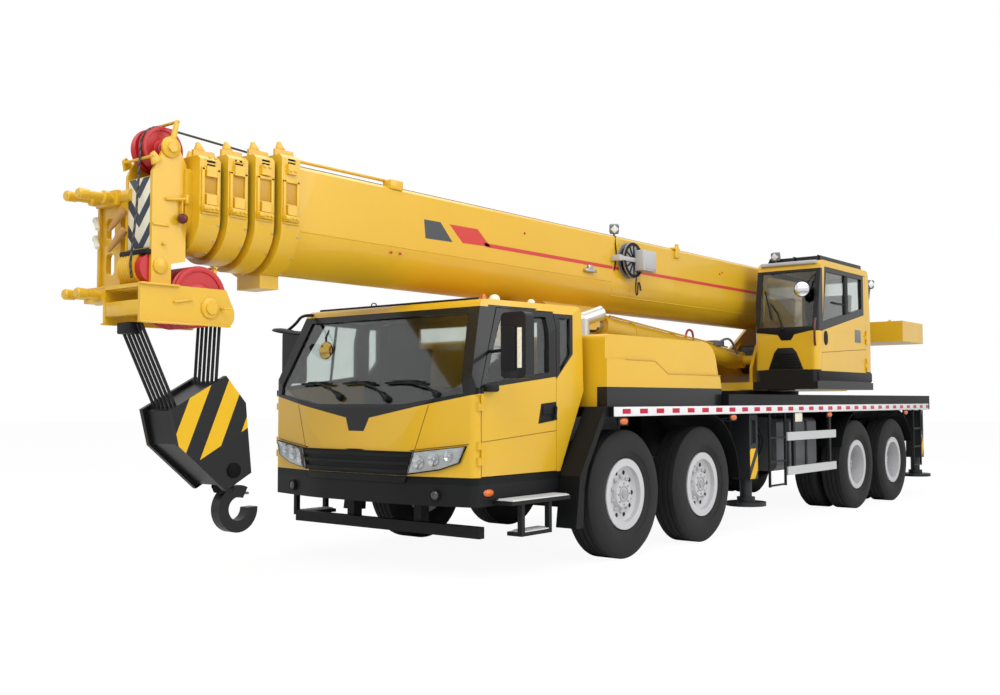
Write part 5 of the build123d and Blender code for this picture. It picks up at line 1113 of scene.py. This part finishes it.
finished(pins, "stowPins", "tip", creamWhite)
taper = []
for z in (2.585, 2.45):
    taper.append(spun([(-0.03, 0), (-0.03, 0.03), (0.02, 0.028), (0.15, 0.012), (0.16, 0)],
                      (st(3.885), -0.165, z), (0.25, -0.55, -0.75), 14))
finished(taper, "taperPins", "tip", tanPin)
print("boom head ready")

# hook block: pin bosses low on the cheeks, the swivel nut and the latch
def onBlock(u, v):
    x, z = blockHead
    return (x - u * math.sin(lean) + v * math.cos(lean), z - u * math.cos(lean) - v * math.sin(lean))


hook = {"pin": 0.6, "pinRadius": 0.052, "cheek": 0.184, "nut": 0.715,
        "latch": [(0.8, -0.035), (0.885, -0.15)]}
bosses = []
x, z = onBlock(hook["pin"], 0.0)
for side in (1, -1):
    r = hook["pinRadius"]
    bosses.append(cap([(0, r), (0.012, r), (0.02, r * 0.75)], (x, side * hook["cheek"], z), (0, side, 0), 28))
x, z = onBlock(hook["nut"], 0.0)
bosses.append(cap([(-0.025, 0.085), (0.025, 0.085), (0.035, 0.07)], (x, 0, z),
                  (-math.sin(lean), 0, -math.cos(lean)), 6))
finished(bosses, "hookBosses", "hook", blackAndOpeningShade)
a, b = [onBlock(u, v) for u, v in hook["latch"]]
latch = tube([(a[0], 0.0, a[1]), ((a[0] + b[0]) / 2 - 0.01, 0.0, (a[1] + b[1]) / 2), (b[0], 0.0, b[1])], 0.01)
finished(latch, "hookLatch", "hook", machineGrey)
print("hook ready")

# lift cylinder: hose pair along the barrel, clamps and the red valve loop
lift = {"base": (-4.7, 1.85), "eye": (-1.2, 2.14)}
way = Vector((lift["eye"][0] - lift["base"][0], 0, lift["eye"][1] - lift["base"][1])).normalized()
up = Vector((-way.z, 0, way.x))
start = Vector((st(lift["base"][0]), 0, lift["base"][1]))


def onLift(d, y, h):
    return start + way * d + Vector((0, y, 0)) + up * h


lines = [tube([onLift(0.35, y, 0.125), onLift(1.6, y, 0.126), onLift(3.05, y, 0.128)], 0.011)
         for y in (-0.045, 0.045)]
band = [(-0.02, 0.117), (-0.02, 0.124), (0.02, 0.124), (0.02, 0.117)]
lines += [spun(band, onLift(d, 0, 0), way, 40) for d in (0.8, 1.7, 2.6)]
finished(lines, "liftLines", "lift_barrel", craneYellow)
loop = tube([onLift(1.2, 0.03, 0.11), onLift(1.21, 0.03, 0.19), onLift(1.28, 0.03, 0.225),
             onLift(1.37, 0.03, 0.2), onLift(1.39, 0.03, 0.11)], 0.013, smooth=True)
finished(loop, "valveLoop", "lift_barrel", signalRed)
valve = [block((st(-4.2), -0.09, 2.005), (st(-3.98), 0.09, 2.075), 0.012)]
valve.append(tube([(st(-4.1), 0.08, 2.06), (st(-4.16), 0.14, 2.12), (st(-4.3), 0.16, 2.05),
                   (st(-4.42), 0.15, 1.92)], 0.014, smooth=True))
finished(valve, "liftValve", "lift_barrel", machineGrey)
# winch drums: the rope's outer turns between the cheeks
winch = {"stations": (-5.55, -6.35), "z": 1.89, "radius": 0.16, "half": 0.3, "turns": 28, "lay": 0.0214}
r, half = winch["radius"], winch["half"]
turns = [(-half, r - 0.004)]
for k in range(winch["turns"]):
    y = -half + winch["lay"] * k
    turns += [(y + 0.004, r + 0.024), (y + 0.0107, r + 0.031), (y + 0.0174, r + 0.024)]
turns += [(half, r + 0.022), (half, r - 0.004)]
for n, s in enumerate(winch["stations"], 1):
    finished(spun(turns, (st(s), 0, winch["z"]), (0, 1, 0), 40), f"winchRope{n}", "upper", rope)
print("lift and winches ready")

# operator's cab: door panes, handle, grab rail, mirror, lamps, wiper, front vent, roof bars
opCab = {"doorSide": 1.29, "front": -4.17,
         "pane": [(-4.325, 2.195), (-4.469, 2.875), (-5.615, 2.875), (-5.615, 2.195)],
         "post": [(-5.055, 2.2), (-5.165, 2.2), (-5.165, 2.87), (-5.055, 2.87)],
         "sill": [(-4.3, 2.18), (-4.3, 2.25), (-5.1, 2.4), (-5.63, 2.5), (-5.63, 2.18)],
         "vent": [(0.68, 1.705), (1.115, 1.705), (1.035, 1.905), (0.985, 1.96), (0.8, 1.96), (0.755, 1.905)],
         "panel": [(0.545, 1.703), (1.245, 1.703), (1.245, 2.128), (0.545, 2.128)],
         "screenFoot": [(0.53, 2.15), (0.8, 2.118), (0.845, 2.05), (0.965, 2.05), (1.01, 2.118),
                        (1.26, 2.165), (1.26, 2.206), (0.53, 2.206)],
         "mirror": (0.045, 1.13, 2.64), "mirrorAim": (1, 0.3, 0), "bars": 6, "firstBar": -4.62,
         "barPitch": 0.2}
opDoorSide, opFront = opCab["doorSide"], st(opCab["front"])
pane = sidePlate(opCab["pane"], opDoorSide - 0.03, opDoorSide - 0.022)
finished(pane, "opDoorPane", "op_door", cabGlass)
frameParts = [sidePlate(opCab["post"], opDoorSide - 0.036, opDoorSide - 0.004, 0.006)]
sill = sidePlate(opCab["sill"], opDoorSide - 0.036, opDoorSide + 0.0008)
finished(sill, "opDoorSill", "op_door", opDoorPaint)
frameParts.append(block((st(-4.66), opDoorSide - 0.034, 2.5), (st(-5.06), opDoorSide - 0.012, 2.525), 0.004))
finished(frameParts, "opDoorFrame", "op_door", trimBlackAndHoleShade)
grip = spun([(0, 0), (0, 1.0), (0.5, 0.95), (0.8, 0.7), (1.0, 0)], (0, 0, 0), (0, 1, 0), 24)
for vert in grip.data.vertices:
    vert.co = (st(-4.42) + vert.co.x * 0.058, opDoorSide + vert.co.y * 0.016, 2.075 + vert.co.z * 0.088)
finished(grip, "opDoorHandle", "op_door", trimBlackAndHoleShade)
gap = tube([(st(-4.3), opDoorSide, 1.9), (st(-5.72), opDoorSide, 1.985)], 0.0035)
finished(gap, "opDoorPanelGap", "op_door", gapShade)
label = block((st(-5.36), opDoorSide - bite, 2.06), (st(-5.56), opDoorSide + 0.002, 2.22), 0.001)
finished(label, "opBlankPlate", "op_door", machineGrey)
rail = tube([(opFront - 0.03, opDoorSide - 0.03, 2.3), (opFront + 0.035, opDoorSide - 0.02, 2.26),
             (opFront + 0.035, opDoorSide - 0.02, 2.02), (opFront - 0.01, opDoorSide - 0.03, 1.985)], 0.013,
            smooth=True, sides=3)
finished(rail, "opGrabRail", "upper", knobRed)
vent = plate(opCab["vent"], "x", opFront - bite, opFront + 0.008, 0.004)
finished(vent, "opFrontVent", "upper", trimBlackAndHoleShade)
slats = [plate([(0.71 + 0.014 * k, 1.73 + 0.03 * k), (1.085 - 0.012 * k, 1.73 + 0.03 * k),
                (1.083 - 0.012 * k, 1.742 + 0.03 * k), (0.712 + 0.014 * k, 1.742 + 0.03 * k)],
               "x", opFront + 0.007, opFront + 0.016, 0.002) for k in range(6)]
finished(slats, "opVentSlats", "upper", chassisBlack)
lower = plate(opCab["panel"], "x", opFront - 0.05, opFront - 0.002)
finished(lower, "opFrontPanel", "upper", craneYellow)
brow = plate(opCab["screenFoot"], "x", opFront - 0.02, opFront + 0.004, 0.003)
finished(brow, "opScreenFoot", "upper", trimBlackAndHoleShade)
wipe = [tube([(opFront + 0.012, 0.86, 2.19), (opFront - 0.02, 0.8, 2.36), (opFront - 0.045, 0.7, 2.5)],
             0.007)]
wipe.append(tube([(opFront - 0.01, 0.72, 2.3), (opFront - 0.06, 0.62, 2.66)], 0.009))
wipe.append(cap([(-0.01, 0.03), (0.02, 0.026), (0.03, 0.012)], (opFront, 0.86, 2.185), (1, 0, 0.2), 14))
finished(wipe, "opWiper", "upper", trimBlackAndHoleShade)
x, y, z = opFront + opCab["mirror"][0], *opCab["mirror"][1:]
shell = [spun([(-0.03, 0), (-0.026, 0.06), (-0.01, 0.088), (0.004, 0.092), (0.008, 0.086), (0.008, 0)],
              (x, y, z), opCab["mirrorAim"], 28)]
shell.append(tube([(x - 0.02, y, z), (opFront - 0.06, y + 0.05, z + 0.11),
                   (opFront - 0.11, y + 0.1, z + 0.19)], 0.01))
finished(shell, "opMirrorShell", "upper", trimBlackAndHoleShade)
glass = spun([(0.0075, 0), (0.0075, 0.084), (0.01, 0.084), (0.018, 0.05), (0.021, 0)], (x, y, z),
             opCab["mirrorAim"], 28)
finished(glass, "opMirrorGlass", "upper", lampSilver)
workLamp("opFrontLamp", "upper", (-4.36, 0.7, 3.085), (1, 0.1, -0.25), 0.05)
workLamp("opRearLamp", "upper", (-6.02, 1.255, 2.85), (0.55, 0.8, -0.1), 0.055)
stay = tube([(st(-5.86), 1.2, 2.64), (st(-6.01), 1.24, 2.65), (st(-6.03), 1.25, 2.79)], 0.01)
finished(stay, "opLampStay", "upper", machineGrey)
shelf = block((st(-4.345), 0.545, 2.955), (st(-4.265), 1.245, 2.998), 0.014)
finished(shelf, "opRoofFrontStrip", "upper", paleGrey)
bars = []
for k in range(opCab["bars"]):
    s = opCab["firstBar"] - opCab["barPitch"] * k
    bars.append(tube([(st(s), 0.62, 3.045), (st(s), 1.22, 3.045)], 0.011))
for y in (0.62, 0.92, 1.22):
    bars.append(tube([(st(-4.34), y, 2.99), (st(-4.4), y, 3.06), (st(-5.76), y, 3.062), (st(-5.8), y, 2.99)],
                     0.011))
finished(bars, "opRoofBars", "upper", trimBlackAndHoleShade, "chassis_black")
base = block((st(-5.94), 1.255, 1.565), (st(-4.19), 1.298, 1.69), 0.02)
finished(base, "opBaseSkirt", "upper", trimBlackAndHoleShade)
print("operator's cab ready")
# counterweight: lifting eyes and a joint line
weight = {"eye": (-8.1, 2.485), "eyeLanes": (-0.8, 0.8), "joint": (-8.4505, 1.05, 2.315)}
s, z = weight["eye"]
ring = [(-0.015, 0.022), (0.015, 0.022), (0.015, 0.045), (-0.015, 0.045)]
eyes = [spun(ring, (st(s), y, z), (0, 1, 0), 24) for y in weight["eyeLanes"]]
eyes += [block((st(-8.16), y - 0.015, 2.455), (st(-8.04), y + 0.015, 2.475), 0.004)
         for y in weight["eyeLanes"]]
s, half, z = weight["joint"]
eyes.append(tube([(st(s), -half, z), (st(s), half, z)], 0.004))
finished(eyes, "counterweightFittings", "upper", craneYellow)

# floor, background and light
clearSelection()
bpy.ops.mesh.primitive_plane_add(size=120, location=(0, 0, 0))
floor = bpy.context.object
floor.name = "studioFloor"
floorPaint, tree = emptyMaterial("paleStudioFloor")
ray = addNode(tree, "LightPath")
seen = maths(tree, "MULTIPLY", ray.outputs["Is Camera Ray"], 0.9)
matt = addNode(tree, "BsdfDiffuse", {"Color": (0.92, 0.92, 0.92, 1)})
white = addNode(tree, "Emission", {"Color": (1, 1, 1, 1), "Strength": 1.04})
mixed = addNode(tree, "MixShader", {}, {0: seen, 1: matt.outputs[0], 2: white.outputs[0]})
addNode(tree, "OutputMaterial", {}, {0: mixed.outputs[0]})
floor.data.materials.append(floorPaint)

world = bpy.data.worlds.new("studioAir")
bpy.context.scene.world = world
world.use_nodes = True
world.node_tree.nodes.clear()
tree = world.node_tree
ray = addNode(tree, "LightPath")
seen = maths(tree, "MAXIMUM", ray.outputs["Is Camera Ray"], ray.outputs["Is Glossy Ray"])
seen = maths(tree, "MAXIMUM", seen, ray.outputs["Is Transmission Ray"])
strength = spread(tree, 0.5, 1.0, seen)
air = addNode(tree, "Background", {"Color": (1, 1, 1, 1)}, {"Strength": strength})
addNode(tree, "OutputWorld", {}, {0: air.outputs[0]})

lamps = {"front": ((9, 4, 9), (-1, 0, 1.2), 8, 720), "left": ((-1, 11, 8), (-1, 0, 1.4), 9, 720),
         "top": ((-2, -2, 12), (-1, 0, 1), 9, 400)}
for name, (place, aim, size, watts) in lamps.items():
    clearSelection()
    bpy.ops.object.light_add(type="AREA", location=place)
    lamp = bpy.context.object
    lamp.name = name + "Softbox"
    lamp.rotation_euler = (Vector(aim) - Vector(place)).to_track_quat("-Z", "Y").to_euler()
    lamp.data.size = size
    lamp.data.energy = watts
print("studio ready")
